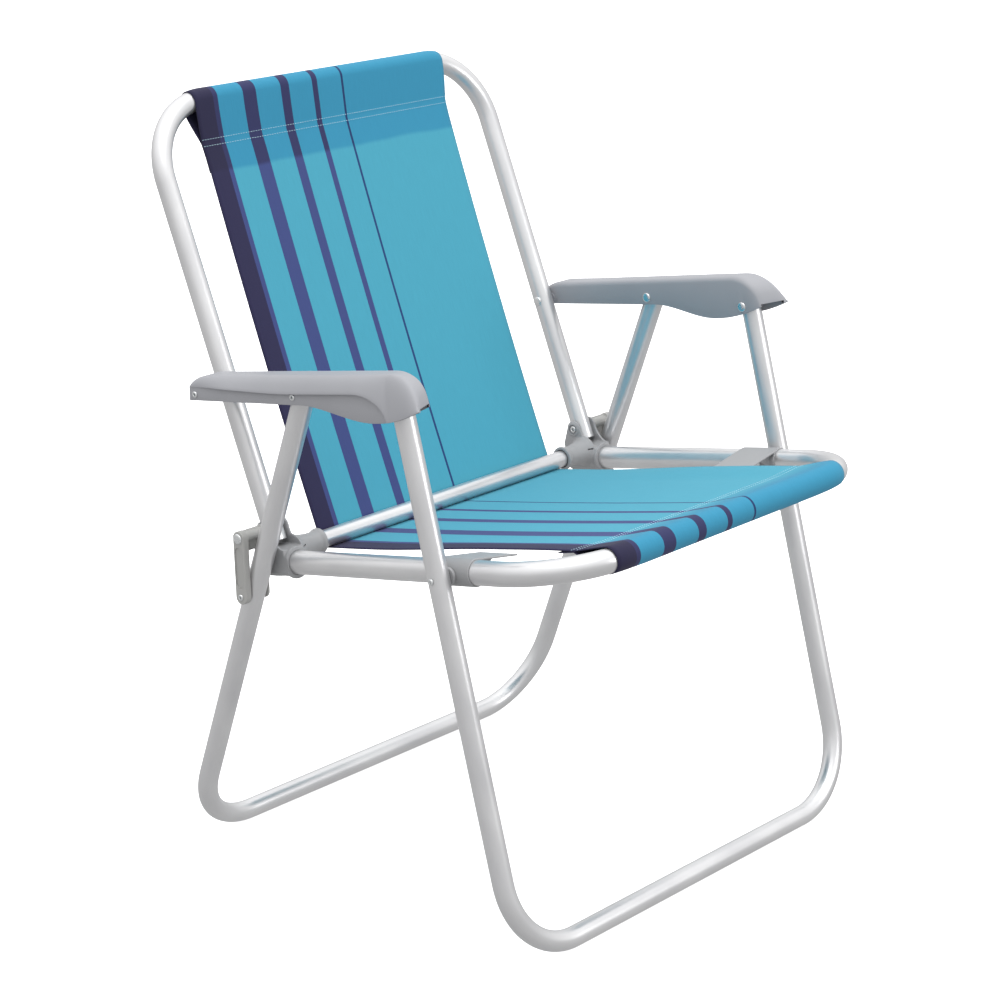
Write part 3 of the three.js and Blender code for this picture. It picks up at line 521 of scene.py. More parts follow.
@dataclass(frozen=True)
class StripedCloth:
    """Woven acrylic awning cloth: yarn-dyed stripes along it in a close plain weave, with a faint sheen.

    Each colour is given plain and as a darker copy. The darker copies are painted shade, laid on the hem
    below the upper seam and on the front sleeve.
    The front seam, and where the cloth comes to lie on the front bar, are given by their distances along it
    from the upper seam.
    The threads are about 0.5 mm apart and are drawn three times as coarse, so that the weave shows.
    """

    seam_mm: float
    bar_mm: float
    name: str = "woven_striped_acrylic"
    # Each colour: plain, and the darker copy that paints shade on the hem and the front sleeve.
    ground: tuple[str, str] = ("459AB1", "3287A8")
    indigo: tuple[str, str] = ("3B4679", "2E3158")
    navy: tuple[str, str] = ("292747", "262440")
    line: tuple[str, str] = ("24406E", "1E3660")
    roughness: float = 0.82
    specular: float = 0.25
    sheen: float = 0.06
    sheen_roughness: float = 0.5
    relief: tuple[float, float] = (0.12, 0.4)
    half_mm: float = 200.0
    thread_mm: float = 1.5
    slub_mm: float = 1 / 0.9
    slub_draw: float = 0.05
    slub_shade: tuple[float, float] = (0.92, 1.05)
    turn_in_mm: float = 33.0
    hem_shade_fade_mm: tuple[float, float] = (-1.0, 5.0)
    hem_shade_swing_mm: float = 6.0
    hem_shade_wave_mm: float = 500 / 7

    def stripes(self) -> list[tuple[float, tuple[str, str]]]:
        """The colours from the sitter's right on, each with the millimetres from the middle to its start."""
        return [
            (-self.half_mm, self.navy),
            (-164.0, self.indigo),
            (-157.5, self.ground),
            (-121.0, self.indigo),
            (-102.0, self.ground),
            (-66.0, self.indigo),
            (-54.0, self.ground),
            (-19.0, self.indigo),
            (-12.0, self.ground),
            (24.5, self.line),
            (27.0, self.ground),
        ]

    def dyed(
        self,
        tree: bpy.types.NodeTree,
        share: bpy.types.NodeSocket,
        shaded_copy: int,
    ) -> bpy.types.NodeSocket:
        """Colours the stripes.

        Args:
            tree: The material's tree.
            share: The place across the cloth, from 0 to 1.
            shaded_copy: 0 for the plain colours, 1 for the darker copies that paint shade.

        Returns:
            The colour output.
        """
        ramp = add_node(tree, "ValToRGB", {"Fac": share})
        ramp.color_ramp.interpolation = "CONSTANT"
        marks = ramp.color_ramp.elements
        marks.remove(marks[1])
        edge, *others = self.stripes()
        marks[0].color = linear(edge[1][shaded_copy])
        for start, colour in others:
            marks.new(start / (2 * self.half_mm) + 0.5).color = linear(colour[shaded_copy])
        return ramp.outputs["Color"]

    # The mask of the painted shade on the hem and the front sleeve.
    def layers(
        self,
        tree: bpy.types.NodeTree,
        place: bpy.types.NodeSocket,
        down: bpy.types.NodeSocket,
    ) -> bpy.types.NodeSocket:
        """Finds where shade is painted on the cloth: over the hem and over the front sleeve, where it lies
        in two layers.

        Over the hem, the painted shade runs below the upper seam as far as the turned-in edge, which lies
        behind the cloth, and its lower edge is uneven. The front sleeve, which is in two layers from the
        front seam on, is painted with shade up to the bar.

        Args:
            tree: The material's tree.
            place: The cloth's map.
            down: The map's coordinate along the cloth.

        Returns:
            The output that is 1 where shade is painted, and 0 elsewhere.
        """
        uneven = noise(tree, stretched(tree, place, (1.0, 0.0, 1.0)), self.hem_shade_wave_mm, 1.0)
        shift = {0: uneven, 1: self.hem_shade_swing_mm * MM, 2: down}
        hang = add_node(tree, "Math", shift, operation="MULTIPLY_ADD").outputs["Value"]
        start, end = [(self.turn_in_mm + fade) * MM for fade in self.hem_shade_fade_mm]
        fall = {"Value": hang, "From Min": start, "From Max": end, "To Min": 1.0, "To Max": 0.0}
        rise = {"Value": down, "From Min": self.seam_mm * MM, "From Max": self.bar_mm * MM}
        hem, sleeve = [
            add_node(tree, "MapRange", values, interpolation_type="SMOOTHSTEP").outputs["Result"]
            for values in (fall, rise)
        ]
        return add_node(tree, "Math", {0: hem, 1: sleeve}, operation="MAXIMUM").outputs["Value"]

    def build(self) -> bpy.types.Material:
        """Makes the material from the cloth's map: metres across it, and along it from the upper seam."""
        values = {
            "Roughness": self.roughness,
            "Specular IOR Level": self.specular,
            "Sheen Weight": self.sheen,
            "Sheen Roughness": self.sheen_roughness,
        }
        material, tree, shader = new_material(self.name, values)
        place = add_node(tree, "UVMap", uv_map="cloth").outputs["UV"]
        parts = add_node(tree, "SeparateXYZ", {"Vector": place})
        spread = {0: parts.outputs["X"], 1: 1 / (2 * self.half_mm * MM), 2: 0.5}
        share = add_node(tree, "Math", spread, operation="MULTIPLY_ADD").outputs["Value"]
        # Painted shade: the hem and the front sleeve take the darker copies of the stripe colours.
        painted_shade = self.layers(tree, place, parts.outputs["Y"])
        colour = blended(tree, painted_shade, self.dyed(tree, share, 0), self.dyed(tree, share, 1))
        slub = noise(tree, stretched(tree, place, (1.0, self.slub_draw, 1.0)), self.slub_mm, 2.0)
        shaded = {0: colour, "Scale": ranged(tree, slub, self.slub_shade)}
        crossed = {index: bands(tree, place, self.thread_mm, way) for index, way in enumerate("XY")}
        weave = add_node(tree, "Math", crossed, operation="MULTIPLY").outputs["Value"]
        joined(
            tree,
            shader,
            Base_Color=add_node(tree, "VectorMath", shaded, operation="SCALE").outputs["Vector"],
            Normal=bumped(tree, weave, self.relief),
        )
        return material


@dataclass(frozen=True)
class BrightRivet:
    """Plated steel rivets: bright, with small dulled marks from the setting tool."""

    name: str = "bright_plated_steel"
    colour: str = "DADCDD"
    roughness: tuple[float, float] = (0.15, 0.35)
    mark_mm: float = 1.2

    def build(self) -> bpy.types.Material:
        """Makes the material from object coordinates."""
        values = {"Base Color": linear(self.colour), "Metallic": 1.0}
        material, tree, shader = new_material(self.name, values)
        place = add_node(tree, "TexCoord").outputs["Object"]
        marks = noise(tree, place, self.mark_mm, 2.0)
        joined(tree, shader, Roughness=ranged(tree, marks, self.roughness))
        return material


@dataclass(frozen=True)
class SewingThread:
    """Bonded polyester thread, twisted: pale, slightly glossy."""

    name: str = "pale_polyester_thread"
    colour: str = "BBDCE8"
    roughness: float = 0.5
    relief: tuple[float, float] = (0.3, 0.2)
    twist_mm: float = 0.6

    def build(self) -> bpy.types.Material:
        """Makes the material from object coordinates, with the twist across the stitches."""
        values = {"Base Color": linear(self.colour), "Roughness": self.roughness}
        material, tree, shader = new_material(self.name, values)
        place = add_node(tree, "TexCoord").outputs["Object"]
        twist = bands(tree, place, self.twist_mm, "DIAGONAL")
        joined(tree, shader, Normal=bumped(tree, twist, self.relief))
        return material


class Finishes:
    """The chair's materials, each made once."""

    def __init__(self) -> None:
        """Makes every material."""
        self.tube = DrawnAluminium().build()
        self.arm = GreyPolypropylene("soft_grey_arm_polypropylene", "9C9DA2", "96979C").build()
        self.joint = GreyPolypropylene("mid_grey_joint_polypropylene", "9B9C9E", "929395").build()
        self.link = GreyPolypropylene("pale_grey_link_polypropylene", "A8A8A6", "A0A09E").build()
        self.rivet = BrightRivet().build()
        self.thread = SewingThread().build()


def only(kind: type, geom: Sequence) -> list:
    """Picks the vertices, or the edges, from an operator's result.

    Args:
        kind: The kind that is picked.
        geom: The result.

    Returns:
        The elements of that kind, in order.
    """
    return [element for element in geom if isinstance(element, kind)]


def mirrored(form: bmesh.types.BMesh) -> bmesh.types.BMesh:
    """Copies a form to the other side of the chair's middle plane.

    Args:
        form: The form on the sitter's left.

    Returns:
        The copy on the sitter's right, facing outwards.
    """
    copy = form.copy()
    bmesh.ops.scale(copy, vec=(-1, 1, 1), verts=copy.verts)
    bmesh.ops.reverse_faces(copy, faces=copy.faces)
    return copy


def to_object(form: bmesh.types.BMesh, name: str) -> bpy.types.Object:
    """Puts a form into the scene as an object, and frees it.

    Args:
        form: The form.
        name: The object's name.

    Returns:
        The object, at the origin.
    """
    mesh = bpy.data.meshes.new(name)
    form.to_mesh(mesh)
    form.free()
    piece = bpy.data.objects.new(name, mesh)
    bpy.context.scene.collection.objects.link(piece)
    return piece


def settled(piece: bpy.types.Object) -> bmesh.types.BMesh:
    """Applies an object's modifiers and takes it out of the scene.

    Args:
        piece: The object.

    Returns:
        Its finished form.
    """
    shown = piece.evaluated_get(bpy.context.evaluated_depsgraph_get())
    form = bmesh.new()
    form.from_mesh(shown.data)
    mesh = piece.data
    bpy.data.objects.remove(piece)
    bpy.data.meshes.remove(mesh)
    return form


def combined(base: bmesh.types.BMesh, tool: bmesh.types.BMesh, operation: str) -> bmesh.types.BMesh:
    """Joins or cuts one closed form with another.

    Args:
        base: The form that is changed.
        tool: The form that is added or cut away.
        operation: UNION or DIFFERENCE.

    Returns:
        The result; both forms are freed.
    """
    body, other = to_object(base, "base_form"), to_object(tool, "tool_form")
    change = body.modifiers.new("change", "BOOLEAN")
    change.operation = operation
    change.solver = "EXACT"
    change.object = other
    form = settled(body)
    mesh = other.data
    bpy.data.objects.remove(other)
    bpy.data.meshes.remove(mesh)
    return form


@dataclass(frozen=True)
class Dress:
    """What a form needs to become a finished piece: its frame, material, body and slot."""

    frame: Matrix
    material: bpy.types.Material
    body: Body
    slot: Slot
    crease: float = 38.0

    def piece(self, form: bmesh.types.BMesh, name: str, nodes: Sequence[str] = ()) -> bpy.types.Object:
        """Turns a form in millimetres into a piece of the chair.

        Args:
            form: The form in its own frame; it is freed.
            name: The piece's name.
            nodes: The solids that it stands for.

        Returns:
            The piece.
        """
        bmesh.ops.transform(form, matrix=TO_METRES @ self.frame, verts=form.verts)
        piece = to_object(form, name)
        piece.data.shade_smooth()
        piece.data.set_sharp_from_angle(angle=math.radians(self.crease))
        piece.data.materials.clear()
        piece.data.materials.append(self.material)
        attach(piece, self.body.value)
        if nodes:
            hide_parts(*nodes)
        LOG.info("%s on %s: %d faces", name, self.body.value, len(piece.data.polygons))
        return piece

    def pair(self, form: bmesh.types.BMesh, name: str, node: str) -> None:
        """Places a form on the sitter's left and its mirror image on the right.

        Args:
            form: The form on the left; it is freed.
            name: The start of the pieces' names.
            node: The start of the names of the solids that they stand for.
        """
        other = mirrored(form)
        for side, copy in ((Side.LEFT, form), (Side.RIGHT, other)):
            self.piece(copy, f"{name}_{side.word}", [f"{node}_{side.word}"])


def rod(
    radius: float,
    start: Sequence[float],
    end: Sequence[float],
    segments: int = 64,
) -> bmesh.types.BMesh:
    """Makes a closed round rod.

    Args:
        radius: Its radius.
        start: The middle of one end.
        end: The middle of the other end.
        segments: The number of sides.

    Returns:
        The rod.
    """
    form = bmesh.new()
    run = Vector(end) - Vector(start)
    turn = run.to_track_quat("Z", "Y").to_matrix().to_4x4()
    middle = Matrix.Translation((Vector(start) + Vector(end)) / 2)
    bmesh.ops.create_cone(
        form,
        cap_ends=True,
        segments=segments,
        radius1=radius,
        radius2=radius,
        depth=run.length,
        matrix=middle @ turn,
    )
    return form


def spun(
    line: Sequence[Sequence[float]],
    axis: Sequence[float],
    steps: int,
    weld: float,
) -> bmesh.types.BMesh:
    """Turns a line of points all the way round an axis through the origin.

    Args:
        line: The points.
        axis: The axis.
        steps: The number of sides.
        weld: How close points are that become one.

    Returns:
        The form.
    """
    form = bmesh.new()
    verts = [form.verts.new(point) for point in line]
    edges = [form.edges.new(pair) for pair in zip(verts, verts[1:])]
    bmesh.ops.spin(
        form,
        geom=verts + edges,
        cent=(0, 0, 0),
        axis=axis,
        dvec=(0, 0, 0),
        angle=2 * math.pi,
        steps=steps,
        use_merge=True,
    )
    bmesh.ops.remove_doubles(form, verts=form.verts, dist=weld)
    bmesh.ops.recalc_face_normals(form, faces=form.faces)
    return form


def lathed(profile: Sequence[tuple[float, float]], frame: Matrix, steps: int = 48) -> bmesh.types.BMesh:
    """Turns half a section about the X axis of a frame.

    Args:
        profile: The (along, radius) points, which start and end on the axis.
        frame: The frame that it is turned in.
        steps: The number of sides.

    Returns:
        The closed form.
    """
    form = spun([(along, radius, 0) for along, radius in profile], (1, 0, 0), steps, 0.001)
    bmesh.ops.transform(form, matrix=frame, verts=form.verts)
    return form


def rounded(form: bmesh.types.BMesh, edges: list, size: float, segments: int) -> None:
    """Rounds some edges of a form.

    Args:
        form: The form.
        edges: Its edges that are rounded.
        size: How far from each edge the rounding starts.
        segments: The number of its facets.
    """
    bmesh.ops.bevel(
        form,
        geom=edges,
        offset=size,
        affect="EDGES",
        segments=segments,
        profile=0.5,
        material=-1,
    )


def pushed(corners: Sequence[Sequence[float]], run: Sequence[float]) -> bmesh.types.BMesh:
    """Pushes a flat outline out to a closed slab.

    Args:
        corners: The outline's points in order.
        run: How far and which way it is pushed.

    Returns:
        The slab.
    """
    form = bmesh.new()
    face = form.faces.new([form.verts.new(corner) for corner in corners])
    grown = bmesh.ops.extrude_face_region(form, geom=[face])["geom"]
    bmesh.ops.translate(form, vec=run, verts=only(bmesh.types.BMVert, grown))
    bmesh.ops.recalc_face_normals(form, faces=form.faces)
    return form


def slab(outline: Sequence[tuple[float, float]], x0: float, x1: float) -> bmesh.types.BMesh:
    """Pushes an outline in the side view out across the chair.

    Args:
        outline: Its (y, z) points in order.
        x0: The side where it starts.
        x1: The side where it ends.

    Returns:
        The closed slab.
    """
    return pushed([(x0, y, z) for y, z in outline], (x1 - x0, 0, 0))


def lofted(rings: Sequence[Sequence[Vector]]) -> bmesh.types.BMesh:
    """Draws a closed ring along a form by extruding it from station to station.

    Args:
        rings: The ring's points at each station, all in the same order.

    Returns:
        The form, closed at both ends.
    """
    form = bmesh.new()
    rank = form.verts.layers.int.new("rank")
    verts = [form.verts.new(point) for point in rings[0]]
    for index, vert in enumerate(verts):
        vert[rank] = index
    edges = [form.edges.new((verts[i - 1], verts[i])) for i in range(len(verts))]
    form.faces.new(verts)
    for ring in rings[1:]:
        grown = bmesh.ops.extrude_edge_only(form, edges=edges)["geom"]
        verts = sorted(only(bmesh.types.BMVert, grown), key=lambda vert: vert[rank])
        edges = only(bmesh.types.BMEdge, grown)
        for vert in verts:
            vert.co = ring[vert[rank]]
    form.faces.new(verts)
    bmesh.ops.recalc_face_normals(form, faces=form.faces)
    form.verts.layers.int.remove(form.verts.layers.int["rank"])
    return form


class Moulding:
    """A moulded form: solids melted together into one skin with soft corners, and then cut."""

    def __init__(self, grain: float, passes: int) -> None:
        """Starts an empty moulding.

        Args:
            grain: The size of the skin's cells in millimetres.
            passes: How often the skin is smoothed, which sets the size of its fillets.
        """
        self.grain = grain
        self.passes = passes
        self.mass = bmesh.new()
        self.cuts: list[bmesh.types.BMesh] = []

    def add(self, *solids: bmesh.types.BMesh) -> None:
        """Adds closed solids, which are freed, to the mass."""
        for solid in solids:
            mesh = bpy.data.meshes.new("solid")
            solid.to_mesh(mesh)
            solid.free()
            self.mass.from_mesh(mesh)
            bpy.data.meshes.remove(mesh)

    def cut(self, *solids: bmesh.types.BMesh) -> None:
        """Adds closed solids that are cut out of the finished skin."""
        self.cuts.extend(solids)

    def form(self) -> bmesh.types.BMesh:
        """Melts the mass, smooths it and makes the cuts."""
        piece = to_object(self.mass, "moulding")
        melt = piece.modifiers.new("melt", "REMESH")
        melt.mode = "VOXEL"
        melt.voxel_size = self.grain
        skin = settled(piece)
        for _ in range(self.passes):
            bmesh.ops.smooth_vert(skin, verts=skin.verts, factor=0.5, **ALL_AXES)
        for tool in self.cuts:
            skin = combined(skin, tool, "DIFFERENCE")
        return skin


@dataclass
class BentTubes:
    """The four bent tube frames and the straight crossbar."""

    frames: ChairFrames
    finishes: Finishes
    sides: int = 56
    bend_steps: int = 22

    def bow(self, half: float, reach: float, bend: float, radius: float) -> bmesh.types.BMesh:
        """Bends one tube to a U: a bar on y = 0 between two legs that run to y = reach.

        Args:
            half: Half the distance between the legs.
            reach: The legs' length from the bar.
            bend: The radius of the bends.
            radius: The tube's outside radius.

        Returns:
            The tube's outer skin, open at both ends.
        """
        form = bmesh.new()
        start = Matrix.Translation((-half, reach, 0)) @ Matrix.Rotation(math.pi / 2, 4, "X")
        bmesh.ops.create_circle(form, segments=self.sides, radius=radius, matrix=start)
        edges = self.drawn(form, list(form.edges), Vector((0, bend - reach, 0)))
        edges = self.turned(form, edges, Vector((bend - half, bend, 0)))
        edges = self.drawn(form, edges, Vector((2 * (half - bend), 0, 0)))
        edges = self.turned(form, edges, Vector((half - bend, bend, 0)))
        self.drawn(form, edges, Vector((0, reach - bend, 0)))
        bmesh.ops.remove_doubles(form, verts=form.verts, dist=0.01)
        bmesh.ops.recalc_face_normals(form, faces=form.faces)
        return form

    @staticmethod
    def drawn(form: bmesh.types.BMesh, edges: list, run: Vector) -> list:
        """Draws the tube's end straight on.

        A ring close to each end of the run keeps the shading of the long part between them true.

        Args:
            form: The tube so far.
            edges: The edges of its end.
            run: How far it is drawn.

        Returns:
            The edges of the new end.
        """
        short = run.normalized()
        for step in (short, run - 2 * short, short):
            grown = bmesh.ops.extrude_edge_only(form, edges=edges)["geom"]
            bmesh.ops.translate(form, vec=step, verts=only(bmesh.types.BMVert, grown))
            edges = only(bmesh.types.BMEdge, grown)
        return edges

    def turned(self, form: bmesh.types.BMesh, edges: list, centre: Vector) -> list:
        """Bends the tube's end by a quarter turn.

        Args:
            form: The tube so far.
            edges: The edges of its end.
            centre: The middle of the bend.

        Returns:
            The edges of the new end.
        """
        verts = list(dict.fromkeys(vert for edge in edges for vert in edge.verts))
        last = bmesh.ops.spin(
            form,
            geom=verts + edges,
            cent=centre,
            axis=(0, 0, 1),
            dvec=(0, 0, 0),
            angle=math.pi / 2,
            steps=self.bend_steps,
        )["geom_last"]
        return only(bmesh.types.BMEdge, last)

    @staticmethod
    def bow_place(half: float, reach: float, bend: float) -> Callable[[Vector], Vector]:
        """Gives the function that straightens a bow's points, for the pattern on its skin.

        Args:
            half: Half the distance between the legs.
            reach: The legs' length from the bar.
            bend: The radius of the bends.

        Returns:
            A function from a point to (outward, upward, along).
        """
        arc = bend * math.pi / 2
        middle = reach - bend + arc + half - bend

        def straighten(point: Vector) -> Vector:
            side = math.copysign(1, point.x)
            out = Vector((abs(point.x) - (half - bend), point.y - bend))
            if out.x <= 0:
                return Vector((-point.y, point.z, middle + point.x))
            if out.y >= 0:
                return Vector((abs(point.x) - half, point.z, middle + side * (half - bend + arc + out.y)))
            turn = math.atan2(out.x, -out.y)
            return Vector((out.length - bend, point.z, middle + side * (half - bend + bend * turn)))

        return straighten

    def finish(
        self,
        form: bmesh.types.BMesh,
        names: tuple[str, str],
        frame: Matrix,
        body: Body,
        straighten: Callable[[Vector], Vector],
    ) -> None:
        """Dresses one tube and gives it its wall.

        Args:
            form: The tube's outer skin.
            names: The piece's name and the solid that it stands for.
            frame: The frame that it is built in.
            body: The body that it rides on.
            straighten: The function that straightens its points.
        """
        straight = [straighten(vert.co) * MM for vert in form.verts]
        piece = Dress(frame, self.finishes.tube, body, Slot.TUBE).piece(form, names[0], [names[1]])
        pattern = piece.data.attributes.new("tube", "FLOAT_VECTOR", "POINT")
        pattern.data.foreach_set("vector", [value for place in straight for value in place])
        wall = piece.modifiers.new("wall", "SOLIDIFY")
        wall.thickness = PLAN.tube_wall * MM
        wall.offset = -1.0

    def build(self) -> None:
        """Builds all five tubes."""
        stand = Matrix.Rotation(math.pi / 2, 4, "X")
        hang = Matrix.Translation((0, 0, PLAN.back_height)) @ Matrix.Rotation(-math.pi / 2, 4, "X")
        ahead = Matrix.Translation((0, -PLAN.seat_depth, 0))
        tube = PLAN.frame_tube / 2
        front = (PLAN.leg_x, PLAN.front_pivot + PLAN.leg_stub, PLAN.leg_bend, tube)
        rear = (PLAN.leg_x, PLAN.rear_pivot + PLAN.leg_stub, PLAN.leg_bend, tube)
        back = (PLAN.rail_x, PLAN.back_height + PLAN.back_stub, PLAN.back_bend, tube)
        seat = (PLAN.rail_x, PLAN.seat_depth + PLAN.rail_end, PLAN.seat_bend, PLAN.seat_tube / 2)
        for names, place, body, sizes in (
            (("front_leg_tube", "front_leg_frame"), self.frames.front_legs @ stand, Body.FRONT_LEGS, front),
            (("rear_leg_tube", "rear_leg_frame"), self.frames.rear_legs @ stand, Body.REAR_LEGS, rear),
            (("back_tube", "back_frame"), self.frames.back @ hang, Body.BACK, back),
            (("seat_tube", "seat_frame"), self.frames.seat @ ahead, Body.SEAT, seat),
        ):
            self.finish(self.bow(*sizes), names, place, body, self.bow_place(*sizes[:3]))
        bar = bmesh.new()
        turn = Matrix.Translation((-PLAN.crossbar_end, 0, 0)) @ Matrix.Rotation(math.pi / 2, 4, "Y")
        radius = PLAN.crossbar_tube / 2
        bmesh.ops.create_circle(bar, segments=self.sides, radius=radius, matrix=turn)
        self.drawn(bar, list(bar.edges), Vector((2 * PLAN.crossbar_end, 0, 0)))
        bmesh.ops.recalc_face_normals(bar, faces=bar.faces)
        names = ("crossbar_tube", "rear_crossbar")
        self.finish(bar, names, self.frames.crossbar, Body.SEAT, lambda p: Vector((p.y, p.z, p.x)))


@dataclass
class HingeConnectors:
    """The moulded rear corners of the seat, with two ears each for the back's lower ends."""

    frames: ChairFrames
    finishes: Finishes
    grain: float = 0.7
    passes: int = 5
    front: float = 31.0
    rear: float = 16.4
    rail_wall: float = 15.6
    bar_wall: float = 12.3
    bar_root: float = 18.5
    ring: float = 1.6
    ring_round: float = 0.6
    ring_long: float = 3.4
    ring_fall: float = 7.0
    waist: float = 0.6
    waist_start: float = 0.7
    waist_place: float = 0.4
    flares: tuple = ((0.6, 0.08), (0.8, 0.35))
    ear_front: float = 27.0
    ear_rear: float = 17.5
    ear_waist: float = 15.5
    ear_round: float = 10.0
    ear_pull: tuple = (-13.5, 18.5)
    block_low: float = -9.4
    block_inset: float = 2.0
    collar: float = 8.0
    collar_stand: float = 1.4
    collar_wall: float = 2.2
    rail_stop: float = 14.1
    bar_stop: float = 0.3
    mouth_play: float = 1.2
    mouth_depth: float = 5.0
    swing: float = 18.66
    hole: float = 3.3
    slit_run: float = 6.0
    slit_depth: float = 2.0
    slit: tuple = ((-27.0, 12.4), (-17.0, 13.6), (-17.0, 15.2), (-27.0, 14.0))

    def ear(self) -> list[tuple[float, float]]:
        """The outline of an ear: a round head on a waist that sweeps out to the body."""
        head, round_off = PLAN.rail_drop, self.ear_round
        a, c = Vector((-self.ear_front, self.ear_waist)), Vector((-round_off, head))
        b = Vector(self.ear_pull)
        shares = [i / 9 for i in range(9)]
        sweep = [a * (1 - t) ** 2 + b * 2 * t * (1 - t) + c * t**2 for t in shares]
        turns = [math.pi - i * (math.pi - 0.1) / 16 for i in range(17)]
        crown = [(round_off * math.cos(t), head + round_off * math.sin(t)) for t in turns]
        foot = [(self.ear_rear, head - self.ear_waist), (self.ear_rear, 0.0), (-self.ear_front, 0.0)]
        return [(p.x, p.y) for p in sweep] + crown + foot

    def socket(self, start: float, end: float, wall: float, root: float) -> list[tuple[float, float]]:
        """The half section of a socket: a ring at its mouth, a waist, and a root.

        Args:
            start: Where the mouth is.
            end: Where the root is.
            wall: The outer radius.
            root: The outer radius at the root.

        Returns:
            The (along, radius) points.
        """
        ring, run = wall + self.ring, end - start
        mouth = [
            (start, 0.0),
            (start, ring - self.ring_round),
            (start + self.ring_round, ring),
            (start + self.ring_long, ring),
            (start + self.ring_fall, wall - self.waist * self.waist_start),
            (start + run * self.waist_place, wall - self.waist),
        ]
        flare = [(start + run * place, wall + (root - wall) * grown) for place, grown in self.flares]
        return mouth + flare + [(end, root), (end, 0.0)]

    def form(self) -> bmesh.types.BMesh:
        """Makes the left connector in the seat's slope, with the hinge straight above the origin."""
        rail, ear = PLAN.rail_x, self.ear()
        bar = (-PLAN.crossbar_ahead, PLAN.crossbar_above)
        hinge = (0.0, PLAN.rail_drop)
        along = Matrix.Translation((rail, 0, 0)) @ Matrix.Rotation(math.pi / 2, 4, "Z")
        block = [
            (-self.ear_front + self.block_inset, self.block_low),
            (-self.ear_front, self.ear_waist),
            (self.ear_rear, PLAN.rail_drop - self.ear_waist),
            (self.ear_rear, self.block_low),
        ]
        body = Moulding(self.grain, self.passes)
        body.add(
            lathed(self.socket(-self.front, self.rear, self.rail_wall, self.rail_wall), along),
            lathed(
                self.socket(PLAN.socket_end, PLAN.ear_face, self.bar_wall, self.bar_root),
                Matrix.Translation((0, *bar)),
            ),
            slab(block, PLAN.ear_inner, PLAN.ear_outside),
            slab(ear, PLAN.ear_inner, PLAN.ear_face),
            slab(ear, PLAN.ear_inside, PLAN.ear_outside),
            rod(self.collar, (PLAN.ear_inner - self.collar_stand, *hinge), (PLAN.ear_face, *hinge)),
        )
        tube, mouth, inside = PLAN.crossbar_tube / 2, PLAN.socket_end - PAST, PLAN.ear_inner - PAST
        side = PLAN.ear_outside
        beyond = [(-60, -60), (60, -60), (60, 60), (-60, 60)]
        body.cut(
            rod(PLAN.seat_tube / 2 + PLAN.gap, (rail, -self.front - PAST, 0), (rail, self.rail_stop, 0)),
            rod(tube + PLAN.gap, (mouth, *bar), (PLAN.crossbar_end + self.bar_stop, *bar)),
            rod(tube + self.mouth_play, (mouth, *bar), (PLAN.socket_end + self.mouth_depth, *bar)),
            rod(self.swing, (PLAN.ear_face, *hinge), (PLAN.ear_inside, *hinge)),
            slab(beyond, side, side + PAST),
            rod(self.collar - self.collar_wall, (inside, *hinge), (PLAN.ear_inner, *hinge)),
            slab(self.slit, PLAN.ear_inner - self.slit_run, PLAN.ear_inner + self.slit_depth),
            rod(self.hole, (inside, *hinge), (side + PAST, *hinge), 32),
        )
        return body.form()

    def build(self) -> None:
        """Builds both connectors."""
        dress = Dress(self.frames.seat, self.finishes.joint, Body.SEAT, Slot.PLASTIC)
        dress.pair(self.form(), "moulded_hinge_connector", "hinge_connector")


